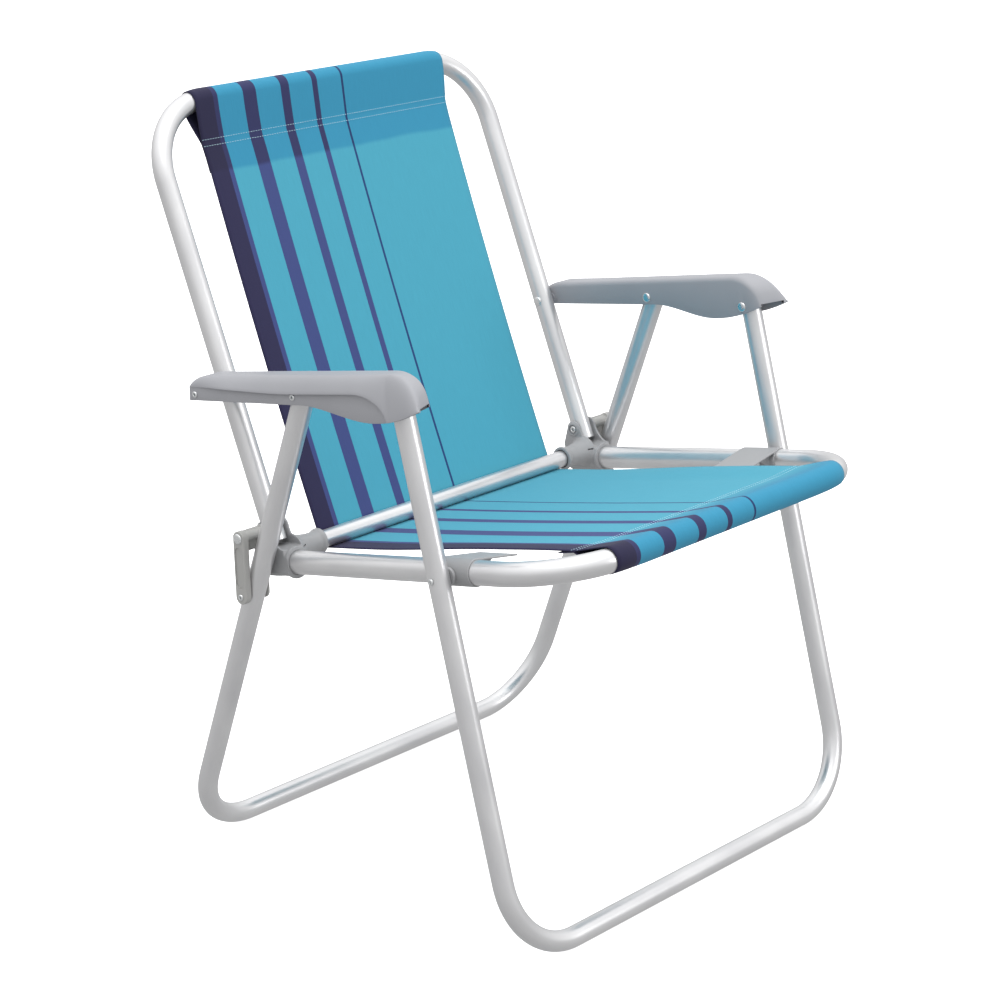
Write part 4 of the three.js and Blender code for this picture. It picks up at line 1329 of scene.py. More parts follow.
@dataclass
class LegSaddles:
    """The moulded sleeves on the seat rails that carry the front legs, with their spacer bushes."""

    frames: ChairFrames
    finishes: Finishes
    grain: float = 0.62
    passes: int = 3
    outer: float = 14.3
    front: float = 24.5
    rear: float = 27.0
    reach: float = 61.0
    drop: float = 9.5
    wall: float = 2.3
    crest: float = 0.98
    root: float = 0.15
    tip_round: tuple = (1.5, 0.6)
    rib_roots: tuple = (0.5, 0.85)
    rib_sink: float = 0.4
    rib_reach: float = 34.0
    rib_high: float = 9.0
    rib_low: float = -6.0
    rib_places: tuple = (7.0, 8.0)
    play: float = 0.18
    hole: float = 2.85
    bush: float = 9.0
    bush_round: float = 0.6

    def form(self) -> bmesh.types.BMesh:
        """Makes the left saddle in the seat's slope, with the leg's pivot at the origin."""
        rail, outer = PLAN.rail_x, self.outer
        high = outer * self.crest
        root, tip = rail - outer * self.root, rail - self.reach
        low = high - self.drop
        inwards, downwards = self.tip_round
        plate = [(root, high), (tip + inwards, low), (tip, low - downwards)]
        plate += [(tip, low - self.wall), (root, high - self.wall)]
        slope = self.drop / (root - tip)
        rib_tip = rail - self.rib_reach
        rib_end = high - (root - rib_tip) * slope - self.rib_sink
        above, below = [rail - outer * share for share in self.rib_roots]
        rib = [(above, self.rib_high), (rib_tip, rib_end), (below, self.rib_low)]
        body = Moulding(self.grain, self.passes)
        body.add(rod(outer, (rail, -self.front, 0), (rail, self.rear, 0)))
        body.add(pushed([(x, -self.front, z) for x, z in plate], (0, self.front + self.rear, 0)))
        front_rib, rear_rib = self.rib_places
        for y in (front_rib - self.front, self.rear - rear_rib):
            body.add(pushed([(x, y, z) for x, z in rib], (0, self.wall, 0)))
        bore = PLAN.seat_tube / 2 + self.play
        body.cut(
            rod(bore, (rail, -self.front - PAST, 0), (rail, self.rear + PAST, 0)),
            rod(self.hole, (rail - outer - 1, 0, 0), (rail + outer + PAST, 0, 0), 32),
        )
        return body.form()

    def bush_form(self) -> bmesh.types.BMesh:
        """Makes the left spacer bush, a short ring with rounded edges."""
        x0, x1 = PLAN.rail_x + self.outer + 0.3, PLAN.leg_inside - PLAN.gap
        form = combined(
            rod(self.bush, (x0, 0, 0), (x1, 0, 0)),
            rod(self.hole, (x0 - PAST, 0, 0), (x1 + PAST, 0, 0), 32),
            "DIFFERENCE",
        )
        near = self.bush - 1
        rims = [e for e in form.edges if e.calc_face_angle(0) > 1 and e.verts[0].co.yz.length > near]
        rounded(form, rims, self.bush_round, 3)
        return form

    def build(self) -> None:
        """Builds both saddles and bushes."""
        dress = Dress(self.frames.saddle, self.finishes.joint, Body.SEAT, Slot.PLASTIC)
        dress.pair(self.form(), "moulded_leg_saddle", "leg_saddle")
        dress.pair(self.bush_form(), "turned_leg_bush", "leg_bush")


@dataclass
class LinkYokes:
    """The forked moulded links from the hinge down to the rear legs, with a web under the hinge."""

    frames: ChairFrames
    finishes: Finishes
    grain: float = 0.62
    passes: int = 4
    radius: float = 7.9
    barrel: float = 5.6
    web_front: float = 1.5
    web_rear: float = 5.5
    web_low: float = -17.0
    web_inset: float = 0.3
    inner_plate: float = 3.1
    play: float = 0.4
    rim: float = 2.0
    recess: float = 1.2
    recess_ends: float = 15.5
    hinge_hole: float = 3.3
    leg_hole: float = 2.8

    def plate(self, inset: float, cut_back: float) -> list[tuple[float, float]]:
        """The outline of a link plate: straight sides with round ends.

        Args:
            inset: How far it is drawn in all round.
            cut_back: How far its ends are moved towards each other.

        Returns:
            The (y, z) points.
        """
        turns = [i * math.pi / 16 for i in range(17)]
        radius = self.radius - inset
        top = [(radius * math.cos(t), radius * math.sin(t) - cut_back) for t in turns]
        return top + [(-y, -PLAN.link_length - z) for y, z in top]

    def form(self) -> bmesh.types.BMesh:
        """Makes the left yoke with the hinge at the origin and the link straight down."""
        reach, face = PLAN.link_length, PLAN.link_face
        outer, inside, past = PLAN.leg_outside + self.play, PLAN.link_inside - PAST, face + PAST
        crest = self.radius - self.web_inset
        tops = [(y, math.sqrt(crest**2 - y**2)) for y in (self.web_rear, self.web_front)]
        web = [(self.web_front, self.web_low), (self.web_rear, self.web_low)] + tops
        body = Moulding(self.grain, self.passes)
        body.add(
            slab(self.plate(0, 0), PLAN.link_inside, PLAN.link_inside + self.inner_plate),
            slab(self.plate(0, 0), outer, face),
            slab(web, PLAN.link_inside + 1, outer + 1),
            rod(self.barrel, (PLAN.link_inside, 0, 0), (outer + 2, 0, 0)),
        )
        body.cut(
            slab(self.plate(self.rim, self.recess_ends), face - self.recess, past),
            rod(self.hinge_hole, (inside, 0, 0), (past, 0, 0), 32),
            rod(self.leg_hole, (inside, 0, -reach), (past, 0, -reach), 32),
        )
        return body.form()

    def build(self) -> None:
        """Builds both yokes."""
        dress = Dress(self.frames.link, self.finishes.link, Body.LINKS, Slot.PLASTIC)
        dress.pair(self.form(), "moulded_link_yoke", "link_yoke")


def clamped(value: float, start: float, end: float) -> float:
    """The share of the way from one place to another.

    Args:
        value: The place.
        start: Where the share is 0.
        end: Where the share is 1.

    Returns:
        The share, from 0 to 1.
    """
    return min(max((value - start) / (end - start), 0.0), 1.0)


def eased(value: float, start: float, end: float) -> float:
    """A smooth step.

    Args:
        value: The place.
        start: Where the step is 0.
        end: Where the step is 1.

    Returns:
        The step's height.
    """
    share = clamped(value, start, end)
    return share * share * (3 - 2 * share)


@dataclass
class Armrests:
    """The hollow moulded armrests: a rounded cap that stands over a skirt and dips to a visor in front.

    Distances along the arm are measured ahead of its rear pivot, and heights above it.
    """

    frames: ChairFrames
    finishes: Finishes
    steps: int = 130
    wall: float = 2.4
    rear: float = 9.5
    rear_round: float = 22.0
    rear_fall: float = 8.0
    length: float = 320.0
    slant: float = 16.0
    nose: float = 14.0
    top: float = 18.5
    overhang: float = 3.5
    overhang_run: float = 60.0
    shoulder: float = 16.0
    rear_shoulder: float = 8.0
    cap_lean: float = 48.0
    inner_round: float = 6.0
    edge_round: float = 0.8
    most_edge: float = 0.3
    most_hip: float = 0.45
    bunch: float = 0.4
    overlap: float = 0.5
    hollow_round: float = 4.0
    hollow_places: tuple = (0.0, 3.0, 6.0, 9.0)
    skirt_rear: float = -6.5
    skirt_drop: float = 8.1
    belly_drop: float = 12.4
    belly_start: float = 4.0
    belly_end: float = 23.0
    lip_rear: float = 7.5
    lip_above: float = 3.4
    lip_run: float = 4.0
    lip_edge: float = 0.6
    visor_lip: tuple = (49.0, 4.0)
    visor_foot: float = 20.0
    visor_start: float = 1.0
    visor_tip: float = -13.0
    visor_depth: float = 4.5
    visor_rim: float = 1.5
    boss: float = 7.0
    hole: float = 2.85
    eye_seat: float = 3.9
    nose_narrow: float = 0.3
    below: float = -64.0

    def __post_init__(self) -> None:
        """Finds the pivots of the rear and front legs along the arm."""
        middle, front = self.frames.arm_middle, self.frames.arm_front
        self.middle = Vector((-middle.y, middle.z))
        self.front = Vector((-front.y, front.z))

    def crown(self, ahead: float) -> float:
        """The height of the top."""
        rear = 1 - clamped(ahead, -self.rear, self.rear_round - self.rear)
        front = clamped(ahead, self.front.x + self.visor_start, self.length)
        height = self.top - self.rear_fall * (1 - math.sqrt(1 - rear**2))
        return self.visor_tip + (height - self.visor_tip) * math.sqrt(1 - front**2)

    def skirt(self, ahead: float) -> float:
        """The height of the lower edge."""
        waist, belly = self.middle.y - self.skirt_drop, self.front.y - self.belly_drop
        slope = self.skirt_rear + (waist - self.skirt_rear) * clamped(ahead, 0, self.middle.x)
        hang = eased(ahead, self.middle.x + self.belly_start, self.front.x - self.belly_end)
        visor = clamped(ahead, self.front.x - self.visor_foot, self.length)
        return slope + (belly - waist) * hang + (self.visor_tip - self.visor_depth - belly) * visor**2

    def lip(self, ahead: float) -> float:
        """The height of the edge where the cap stands over the skirt."""
        low = self.skirt(ahead)
        settle = eased(ahead, -self.rear, self.middle.x + self.lip_run)
        level = self.lip_rear + (self.middle.y + self.lip_above - self.lip_rear) * settle
        start, end = self.visor_lip
        turn = clamped(ahead, self.front.x - start, self.front.x - end)
        lip = low + (level - low) * math.sqrt(1 - turn**2)
        highest = max(self.crown(ahead) - self.wall, low + 2 * self.lip_edge)
        return min(max(lip, low + self.lip_edge), highest)

    def point(self, ahead: float, x: float, z: float) -> Vector:
        """A place on a section: the nose narrows, and its inner side is shorter than its outer side.

        Args:
            ahead: The section's distance ahead of the rear pivot.
            x: The place across the chair.
            z: The height.

        Returns:
            The place in the arm's frame.
        """
        centre = (PLAN.arm_inside + PLAN.arm_outside) / 2
        tip = clamped(ahead, self.length - self.nose, self.length)
        narrow = math.sqrt(1 - self.nose_narrow * tip**2)
        inward = 1 - clamped(x, PLAN.arm_inside, PLAN.arm_outside)
        shorter = self.slant * inward * eased(ahead, self.middle.x, self.front.x + self.visor_start)
        # The rear end stands upright, although the arm slopes.
        square = 1 - eased(ahead, -self.rear, self.overhang_run)
        forward = math.tan(math.radians(PLAN.arm_rise)) * (z - self.skirt_rear) * square
        return Vector((centre + (x - centre) * narrow, shorter - ahead - forward, z))

    def cap(self, ahead: float) -> tuple[float, float, float]:
        """The cap's width of shoulder, and the slant and the height at which its side rises from the lip.

        Args:
            ahead: The distance ahead of the rear pivot.

        Returns:
            The shoulder, the slant in radians and the height.
        """
        grown = eased(ahead, -self.rear, self.overhang_run)
        shoulder = self.rear_shoulder + (self.shoulder - self.rear_shoulder) * grown
        lip = self.lip(ahead)
        edge = min(self.edge_round, self.stand(ahead), (self.crown(ahead) - lip) * self.most_edge)
        return shoulder, math.radians(self.cap_lean) * grown, lip + edge

    def stand(self, ahead: float) -> float:
        """How far the cap stands over the skirt."""
        grown = self.overhang * eased(ahead, -self.rear, self.overhang_run)
        return min(grown + PLAN.gap, self.overhang)

    def cover(self, ahead: float, x: float) -> float:
        """The height of the cap at a place across the arm.

        Args:
            ahead: The distance ahead of the rear pivot.
            x: The place across.

        Returns:
            The height.
        """
        shoulder, lean, rise = self.cap(ahead)
        top, outer = self.crown(ahead), PLAN.arm_skirt + self.stand(ahead)
        inwards = clamped(outer - x, 0, shoulder)
        turn = math.acos(math.cos(lean) * (1 - inwards))
        return rise + (top - rise) * (math.sin(turn) - math.sin(lean)) / (1 - math.sin(lean))

    def outer_ring(self, ahead: float) -> list[Vector]:
        """One section through the outside of the arm.

        Args:
            ahead: The distance ahead of the rear pivot.

        Returns:
            The section's points.
        """
        top, low, lip = self.crown(ahead), self.skirt(ahead), self.lip(ahead)
        inner, skirt = PLAN.arm_inside, PLAN.arm_skirt
        outer = skirt + self.stand(ahead)
        hip = min(self.inner_round, (top - low) * self.most_hip)
        small = min(self.edge_round, (lip - low) * self.most_edge)
        soft = CORNER * small
        shoulder, lean, rise = self.cap(ahead)
        edge = rise - lip
        quarter = [i * math.pi / 10 for i in range(6)]
        points = [(inner, low + small), (inner + soft, low + soft), (inner + small, low)]
        points += [(skirt - small, low), (skirt - soft, low + soft), (skirt, low + small)]
        points += [(skirt, (low + lip) / 2), (skirt, lip)]
        points += [(outer - 0.4 * edge, lip), (outer, lip + 0.4 * edge)]
        # The cap meets its lip at a slant, which the light from above sets off against the upright skirt.
        for i in range(12):
            turn = lean + (math.pi / 2 - lean) * i / 11
            inwards = (math.cos(lean) - math.cos(turn)) / math.cos(lean)
            upwards = (math.sin(turn) - math.sin(lean)) / (1 - math.sin(lean))
            points.append((outer - shoulder * inwards, rise + (top - rise) * upwards))
        span = outer - inner - shoulder - self.inner_round
        points += [(inner + self.inner_round + span * s, top) for s in (0.75, 0.5, 0.25)]
        for turn in quarter:
            x = inner + self.inner_round * (1 - math.sin(turn))
            points.append((x, top - hip * (1 - math.cos(turn))))
        return [self.point(ahead, x, z) for x, z in points]

    def hollow_ring(self, ahead: float) -> list[Vector]:
        """One section through the hollow under the arm.

        Args:
            ahead: The distance ahead of the rear pivot.

        Returns:
            The section's points.
        """
        around = (ahead - self.wall, ahead + self.wall)
        top = min(self.crown(s) for s in around) - self.wall
        inner, outer = PLAN.arm_inside + self.wall, PLAN.arm_skirt - self.wall
        points = [(inner, self.below), (outer, self.below)]
        for x in (outer - place for place in self.hollow_places):
            points.append((x, min(self.cover(s, x + self.wall) for s in around) - self.wall))
        large = self.hollow_round
        soft = CORNER * large
        points += [(inner + large, top), (inner + soft, top - soft), (inner, top - large)]
        return [self.point(ahead, x, z) for x, z in points]

    def shell(self) -> bmesh.types.BMesh:
        """Makes the left arm's hollow shell, with the open mouth under its visor."""
        first, last = -self.rear, self.length
        shares = [i / self.steps for i in range(self.steps + 1)]
        # The stations are closer together towards both ends.
        waves = [0.5 - 0.5 * math.cos(math.pi * share) for share in shares]
        bunched = [(1 - self.bunch) * share + self.bunch * wave for share, wave in zip(shares, waves)]
        stations = [first + (last - first) * share for share in bunched]
        inside = [s for s in stations if first + self.wall < s < last - self.wall]
        arm = combined(
            lofted([self.outer_ring(s) for s in stations]),
            lofted([self.hollow_ring(s) for s in [first + self.wall] + inside]),
            "DIFFERENCE",
        )
        lid = self.visor_tip - self.visor_rim
        tip, heel, inset = -last - 1, -self.front.x, 2 * self.wall
        mouth = [(tip, self.below), (heel, self.below), (heel, lid), (tip, lid)]
        return combined(arm, slab(mouth, PLAN.arm_inside + inset, PLAN.arm_skirt - inset), "DIFFERENCE")

    def form(self) -> bmesh.types.BMesh:
        """Makes the left armrest in its own slope, with its rear pivot at the origin."""
        arm = self.shell()
        wall_in, wall_out = PLAN.arm_inside + self.wall, PLAN.arm_skirt - self.wall
        inside, far = PLAN.arm_inside - PAST, PLAN.arm_outside + PAST
        for pivot in (self.front, self.middle):
            place = (-pivot.x, pivot.y)
            inner = (wall_in - self.overlap, PLAN.leg_inside - PLAN.gap)
            outer = (PLAN.leg_outside + PLAN.gap, wall_out + self.overlap)
            for start, end in (inner, outer):
                arm = combined(arm, rod(self.boss, (start, *place), (end, *place), 40), "UNION")
            bore = rod(self.hole, (inside, *place), (wall_out + PLAN.gap, *place), 32)
            arm = combined(arm, bore, "DIFFERENCE")
        place = (-self.middle.x, self.middle.y)
        arm = combined(arm, rod(self.hole, (wall_out, *place), (far, *place), 32), "DIFFERENCE")
        seat = rod(self.eye_seat, (PLAN.arm_skirt, *place), (far, *place), 40)
        arm = combined(arm, seat, "DIFFERENCE")
        spacer = rod(self.boss, (PLAN.ear_inside, 0, 0), (PLAN.arm_inside + self.overlap, 0, 0), 40)
        arm = combined(arm, spacer, "UNION")
        return combined(arm, rod(self.hole, (inside, 0, 0), (far, 0, 0), 32), "DIFFERENCE")

    def build(self) -> None:
        """Builds both armrests."""
        dress = Dress(self.frames.arm, self.finishes.arm, Body.ARMS, Slot.PLASTIC)
        dress.pair(self.form(), "moulded_armrest", "armrest")


@dataclass(frozen=True)
class Rivet:
    """One pair of rivets across the chair's sides, given on the sitter's left from the inside out."""

    node: str
    body: Body
    frame: Matrix
    start: float
    end: float
    inner: RivetEnd
    outer: RivetEnd
    shank: float = 2.5

    def form(self) -> bmesh.types.BMesh:
        """Turns the rivet about its axis."""
        inner = self.inner.profile(self.start, -1, self.shank)
        outer = self.outer.profile(self.end, 1, self.shank)
        return lathed(inner + outer[::-1], Matrix(), 40)


@dataclass
class Fasteners:
    """The rivets of the pivots and the screws of the crossbar."""

    frames: ChairFrames
    finishes: Finishes
    hinge_shank: float = 3.0
    front_end: float = 296.6
    rear_inner_end: float = 269.8
    rear_outer_start: float = 293.2
    head_sink: float = 0.9
    screw_shank: float = 1.55
    screw_length: float = 9.0
    screw_head: float = 3.0
    screw_round: float = 0.8
    screw_stand: float = 1.9
    screw_inset: float = 5.0
    screw_drop: float = 0.4
    screw_slot: tuple = (9.0, 0.8, 1.3)

    def rivets(self) -> list[Rivet]:
        """Lists the rivets with their faces and ends."""
        frames = self.frames
        middle = frames.arm @ Matrix.Translation((0, frames.arm_middle.y, frames.arm_middle.z))
        front = frames.arm @ Matrix.Translation((0, frames.arm_front.y, frames.arm_front.z))
        low = frames.link @ Matrix.Translation((0, 0, -PLAN.link_length))
        up = frames.back @ Matrix.Translation((0, 0, PLAN.arm_height))
        cut, dome, eye = RivetEnd.CUT, RivetEnd.DOME, RivetEnd.EYE
        tube, sleeve = PLAN.rail_x - PLAN.frame_tube / 2 + self.head_sink, PLAN.rail_x - LegSaddles.outer
        arm, skirt, face = PLAN.arm_inside, PLAN.arm_skirt, PLAN.link_face
        shank = self.hinge_shank
        return [
            Rivet("arm_back_rivet", Body.BACK, up, tube, skirt, dome, eye),
            Rivet("hinge_rivet", Body.SEAT, frames.hinge, PLAN.ear_inner, face, eye, dome, shank),
            Rivet("leg_rivet", Body.SEAT, frames.saddle, sleeve, PLAN.leg_outside, dome, eye),
            Rivet("link_rivet", Body.LINKS, low, PLAN.link_inside, face, cut, eye),
            Rivet("arm_front_rivet", Body.ARMS, front, arm, self.front_end, dome, cut),
            Rivet("arm_rear_rivet_inner", Body.ARMS, middle, arm, self.rear_inner_end, dome, cut),
            Rivet("arm_rear_rivet_outer", Body.ARMS, middle, self.rear_outer_start, skirt, cut, eye),
        ]

    def screw(self) -> bmesh.types.BMesh:
        """Makes the left crossbar screw, head down, with a slot across its head."""
        x, top = PLAN.socket_end - self.screw_inset, -PLAN.crossbar_tube / 2 - self.screw_drop
        low = top - self.screw_stand
        shank = rod(self.screw_shank, (x, 0, top), (x, 0, top + self.screw_length), 24)
        head = rod(self.screw_head, (x, 0, low), (x, 0, top), 32)
        rims = [e for e in head.edges if all(v.co.z < top - 1 for v in e.verts)]
        rounded(head, rims, self.screw_round, 4)
        notch = bmesh.new()
        place = Matrix.Translation((x, 0, low)) @ Matrix.Diagonal((*self.screw_slot, 1))
        bmesh.ops.create_cube(notch, size=1, matrix=place)
        return combined(combined(shank, head, "UNION"), notch, "DIFFERENCE")

    def build(self) -> None:
        """Builds every fastener."""
        for rivet in self.rivets():
            dress = Dress(rivet.frame, self.finishes.rivet, rivet.body, Slot.FASTENER)
            dress.pair(rivet.form(), f"bright_{rivet.node}", rivet.node)
        dress = Dress(self.frames.crossbar, self.finishes.rivet, Body.SEAT, Slot.FASTENER)
        dress.pair(self.screw(), "slotted_crossbar_screw", "crossbar_screw")


@dataclass
class Sling:
    """The cloth: a sleeve round the top bar, a turn under the crossbar and a sleeve round the front bar."""

    frames: ChairFrames
    finishes: Finishes
    half: float = 188.0
    flare: float = 3.0
    drift: float = 3.5
    cloth: float = 1.0
    clear: float = 0.25
    back_hem: float = 46.5
    turn_in: float = 33.0
    front_hem: float = 45.5
    front_rise: float = 5.9
    front_tail: float = 22.0
    tail_drop: float = 1.6
    edge_lift: float = 3.6
    lift_run: tuple = (25.0, 190.0)
    lift_edge: tuple = (0.7, 0.97)
    flare_run: tuple = (12.0, 67.0)
    hold_run: tuple = (15.0, 45.0)
    back_sag: float = 3.0
    seat_sag: float = 1.5
    turn_above: float = 30.0
    turn_below: float = -22.0
    hem_gap: float = 0.2
    seam_gap: float = 0.15
    top_steps: int = 24
    crossbar_steps: int = 12
    front_steps: int = 30
    columns: int = 72
    step: float = 8.0
    back_rows: tuple = (-3.5, 3.5)
    front_rows: tuple = (-4.0, 4.5)
    stitch_pitch: float = 3.6
    stitch_long: float = 1.25
    stitch_thick: float = 0.3
    stitch_lift: float = 0.1

    def __post_init__(self) -> None:
        """Finds the bars, the directions in which their bends run on, and the cloth's line."""
        self.top = self.frames.back @ Vector((0, 0, PLAN.back_height))
        self.bar = self.frames.crossbar @ Vector()
        self.front = self.frames.seat @ Vector((0, -PLAN.seat_depth, 0))
        self.rear = self.frames.back.to_3x3() @ Vector((0, 1, 0))
        down = self.frames.back.to_3x3() @ Vector((0, 0, -1))
        behind = self.frames.seat.to_3x3() @ Vector((0, 1, 0))
        self.bends = ((self.top, down, PLAN.back_bend), (self.front, behind, PLAN.seat_bend))
        self.wing = self.frames.saddle @ Vector()
        self.up = self.frames.seat.to_3x3() @ Vector((0, 0, 1))
        self.line, self.stitched, self.seam, self.held = self.course()
        self.along = [0.0]
        for a, b in zip(self.line, self.line[1:]):
            self.along.append(self.along[-1] + (b - a).length)

    def run(self, start: Vector, end: Vector, sag: Vector) -> list[Vector]:
        """Points along a hanging stretch of cloth.

        Args:
            start: Where it starts.
            end: Where it ends.
            sag: How far its middle hangs from the straight line.

        Returns:
            The points after the start, up to the end.
        """
        count = max(2, round((end - start).length / self.step))
        shares = [i / count for i in range(1, count + 1)]
        return [start.lerp(end, share) + sag * (4 * share * (1 - share)) for share in shares]

    @staticmethod
    def wrap(centre: Vector, radius: float, first: float, last: float, count: int) -> list[Vector]:
        """Points round a bar, in the side view.

        Args:
            centre: The bar's axis.
            radius: The radius of the turn.
            first: The first angle, from the rear upwards, in radians.
            last: The last angle.
            count: The number of steps.

        Returns:
            The points.
        """
        turns = [first + (last - first) * i / count for i in range(count + 1)]
        return [centre + Vector((0, radius * math.cos(t), radius * math.sin(t))) for t in turns]

    @staticmethod
    def tangent(centre: Vector, radius: float, point: Vector, way: int) -> float:
        """The angle at which a straight stretch from a point meets the turn round a bar.

        Args:
            centre: The bar's axis.
            radius: The radius of the turn.
            point: The stretch's other end.
            way: Which side of the bar it meets, 1 or -1.

        Returns:
            The angle in radians.
        """
        gap = point - centre
        return math.atan2(gap.z, gap.y) + way * math.acos(radius / gap.length)

    def course(self) -> tuple[list[Vector], int, int, int]:
        """The cloth's middle line in the side view, from its turned-in edge behind the back.

        Returns:
            The line's points, and the places on it of the upper stitching, of the front seam and of
            the start of the turn round the front bar.
        """
        half = self.cloth / 2
        lay = half + self.clear
        rings = [tube / 2 + lay for tube in (PLAN.frame_tube, PLAN.crossbar_tube, PLAN.seat_tube)]
        ahead = half + self.hem_gap / 2
        stitch = self.frames.back @ Vector((0, -ahead, PLAN.back_height - self.back_hem))
        slope = math.atan2(self.rear.z, self.rear.y)
        low = self.wrap(self.bar, rings[1], slope, slope, 1)[0]
        panel = [stitch] + self.run(stitch, low, self.rear * self.back_sag)
        turned = [p for p in panel if (p - stitch).length < self.turn_in + 2]
        flap = [p + self.rear * (self.cloth + self.hem_gap) for p in turned]
        points = flap[::-1]
        first = self.tangent(self.top, rings[0], flap[0], 1)
        last = self.tangent(self.top, rings[0], stitch, -1) + 2 * math.pi
        sleeve = self.wrap(self.top, rings[0], first, last, self.top_steps)
        points += self.run(flap[0], sleeve[0], Vector()) + sleeve[1:]
        points += self.run(sleeve[-1], stitch, Vector())
        stitched = len(points) - 1
        points += panel[1:]
        seam = self.frames.seat @ Vector((0, self.front_hem - PLAN.seat_depth, self.front_rise))
        under = self.tangent(self.bar, rings[1], seam, 1) - 2 * math.pi
        points += self.wrap(self.bar, rings[1], slope, under, self.crossbar_steps)[1:]
        points += self.run(points[-1], seam, Vector((0, 0, -self.seat_sag)))
        back = (points[-2] - seam).normalized()
        below = seam + Vector((0, back.z, -back.y)) * (self.cloth + self.seam_gap)
        mark = len(points) - 1
        first = self.tangent(self.front, rings[2], seam, 1)
        last = self.tangent(self.front, rings[2], below, -1) + 2 * math.pi
        sleeve = self.wrap(self.front, rings[2], first, last, self.front_steps)
        points += self.run(seam, sleeve[0], Vector())
        held = len(points) - 1
        points += sleeve[1:] + self.run(sleeve[-1], below, Vector())
        points += self.run(below, below + back * self.front_tail - self.up * self.tail_drop, Vector())
        return points, stitched, mark, held

    def spot(self, point: Vector, share: float) -> Vector:
        """A place on the cloth.

        Its sleeves flare a little and follow the bends of the bars, and the wings of the saddles lift
        its edges.

        Args:
            point: The place on the cloth's line.
            share: The place across it, from -1 to 1.

        Returns:
            The place in the chair's frame.
        """
        near = min((point - centre).length for centre, _, _ in self.bends)
        wide = self.half + self.flare * (1 - eased(near, *self.flare_run))
        x = share * wide + self.drift * clamped(self.bar.y - point.y, 0, self.bar.y - self.front.y)
        place = point + Vector((x, 0, 0))
        raised = 1 - eased((point - self.wing).length, *self.lift_run)
        place += self.up * (self.edge_lift * (raised * eased(abs(share), *self.lift_edge)))
        for centre, way, bend in self.bends:
            hold = 1 - eased((point - centre).length, *self.hold_run)
            into = max(abs(x) - (PLAN.rail_x - bend), 0.0)
            left = math.sqrt(bend**2 - into**2)
            place += way * (hold * (bend - left + (point - centre).dot(way) * (bend / left - 1)))
        return place

    def form(self) -> bmesh.types.BMesh:
        """Draws the cloth out, row by row, along its line."""
        form = bmesh.new()
        across = form.verts.layers.float.new("across")
        down = form.verts.layers.float.new("down")
        shares = [2 * i / self.columns - 1 for i in range(self.columns + 1)]
        verts = [form.verts.new(self.spot(self.line[0], share)) for share in shares]
        for vert, share in zip(verts, shares):
            vert[across] = share
        edges = [form.edges.new(pair) for pair in zip(verts, verts[1:])]
        for place, point in zip(self.along[1:], self.line[1:]):
            grown = bmesh.ops.extrude_edge_only(form, edges=edges)["geom"]
            edges = only(bmesh.types.BMEdge, grown)
            for vert in only(bmesh.types.BMVert, grown):
                vert.co = self.spot(point, vert[across])
                vert[down] = place
        chart = form.loops.layers.uv.new("cloth")
        for face in form.faces:
            for loop in face.loops:
                below = loop.vert[down] - self.along[self.stitched]
                loop[chart].uv = (loop.vert[across] * self.half * MM, below * MM)
        bmesh.ops.recalc_face_normals(form, faces=form.faces)
        for name in ("across", "down"):
            form.verts.layers.float.remove(form.verts.layers.float[name])
        return form

    def stitches(self, distances: Sequence[float]) -> bmesh.types.BMesh:
        """Sews rows of stitches across the cloth, on the side towards the sitter.

        Args:
            distances: How far along the cloth each row is.

        Returns:
            The stitches.
        """
        form = bmesh.new()
        count = int(2 * (self.half - 1) / self.stitch_pitch)
        size = Matrix.Diagonal((self.stitch_long, self.stitch_thick, self.stitch_thick, 1))
        for distance in distances:
            index = next(i for i, a in enumerate(self.along) if a > distance)
            start, end = self.line[index - 1], self.line[index]
            way = (end - start).normalized()
            point = start + way * (distance - self.along[index - 1])
            lift = Vector((0, way.z, -way.y)) * (self.cloth / 2 + self.stitch_lift)
            for i in range(count):
                share = (2 * i + 1) / count - 1
                place = Matrix.Translation(self.spot(point, share) + lift)
                bmesh.ops.create_uvsphere(form, u_segments=6, v_segments=5, radius=1, matrix=place @ size)
        return form

    def build(self) -> None:
        """Builds the cloth and its stitching."""
        form = self.form()
        bmesh.ops.transform(form, matrix=TO_METRES, verts=form.verts)
        piece = to_object(form, "striped_sling_cloth")
        piece.data.shade_smooth()
        upper, seam = self.along[self.stitched], self.along[self.seam]
        bar = self.along[self.held]
        piece.data.materials.append(StripedCloth(seam - upper, bar - upper).build())
        thick = piece.modifiers.new("thickness", "SOLIDIFY")
        thick.thickness = self.cloth * MM
        thick.offset = 0.0
        start = self.frames.back @ Vector((0, 0, self.turn_above))
        end = self.frames.back @ Vector((0, 0, self.turn_below))
        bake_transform(piece, Body.BACK.value, Body.SEAT.value, start=start * MM, end=end * MM)
        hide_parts("back_sling", "seat_sling")
        LOG.info("sling: %.0f mm wide, %.0f mm long", 2 * self.half, self.along[-1])
        rows = (
            ("back_hem_stitching", Body.BACK, upper, self.back_rows),
            ("front_hem_stitching", Body.SEAT, seam, self.front_rows),
        )
        for name, body, middle, offsets in rows:
            form = self.stitches([middle + offset for offset in offsets])
            Dress(Matrix(), self.finishes.thread, body, Slot.CLOTH).piece(form, name)


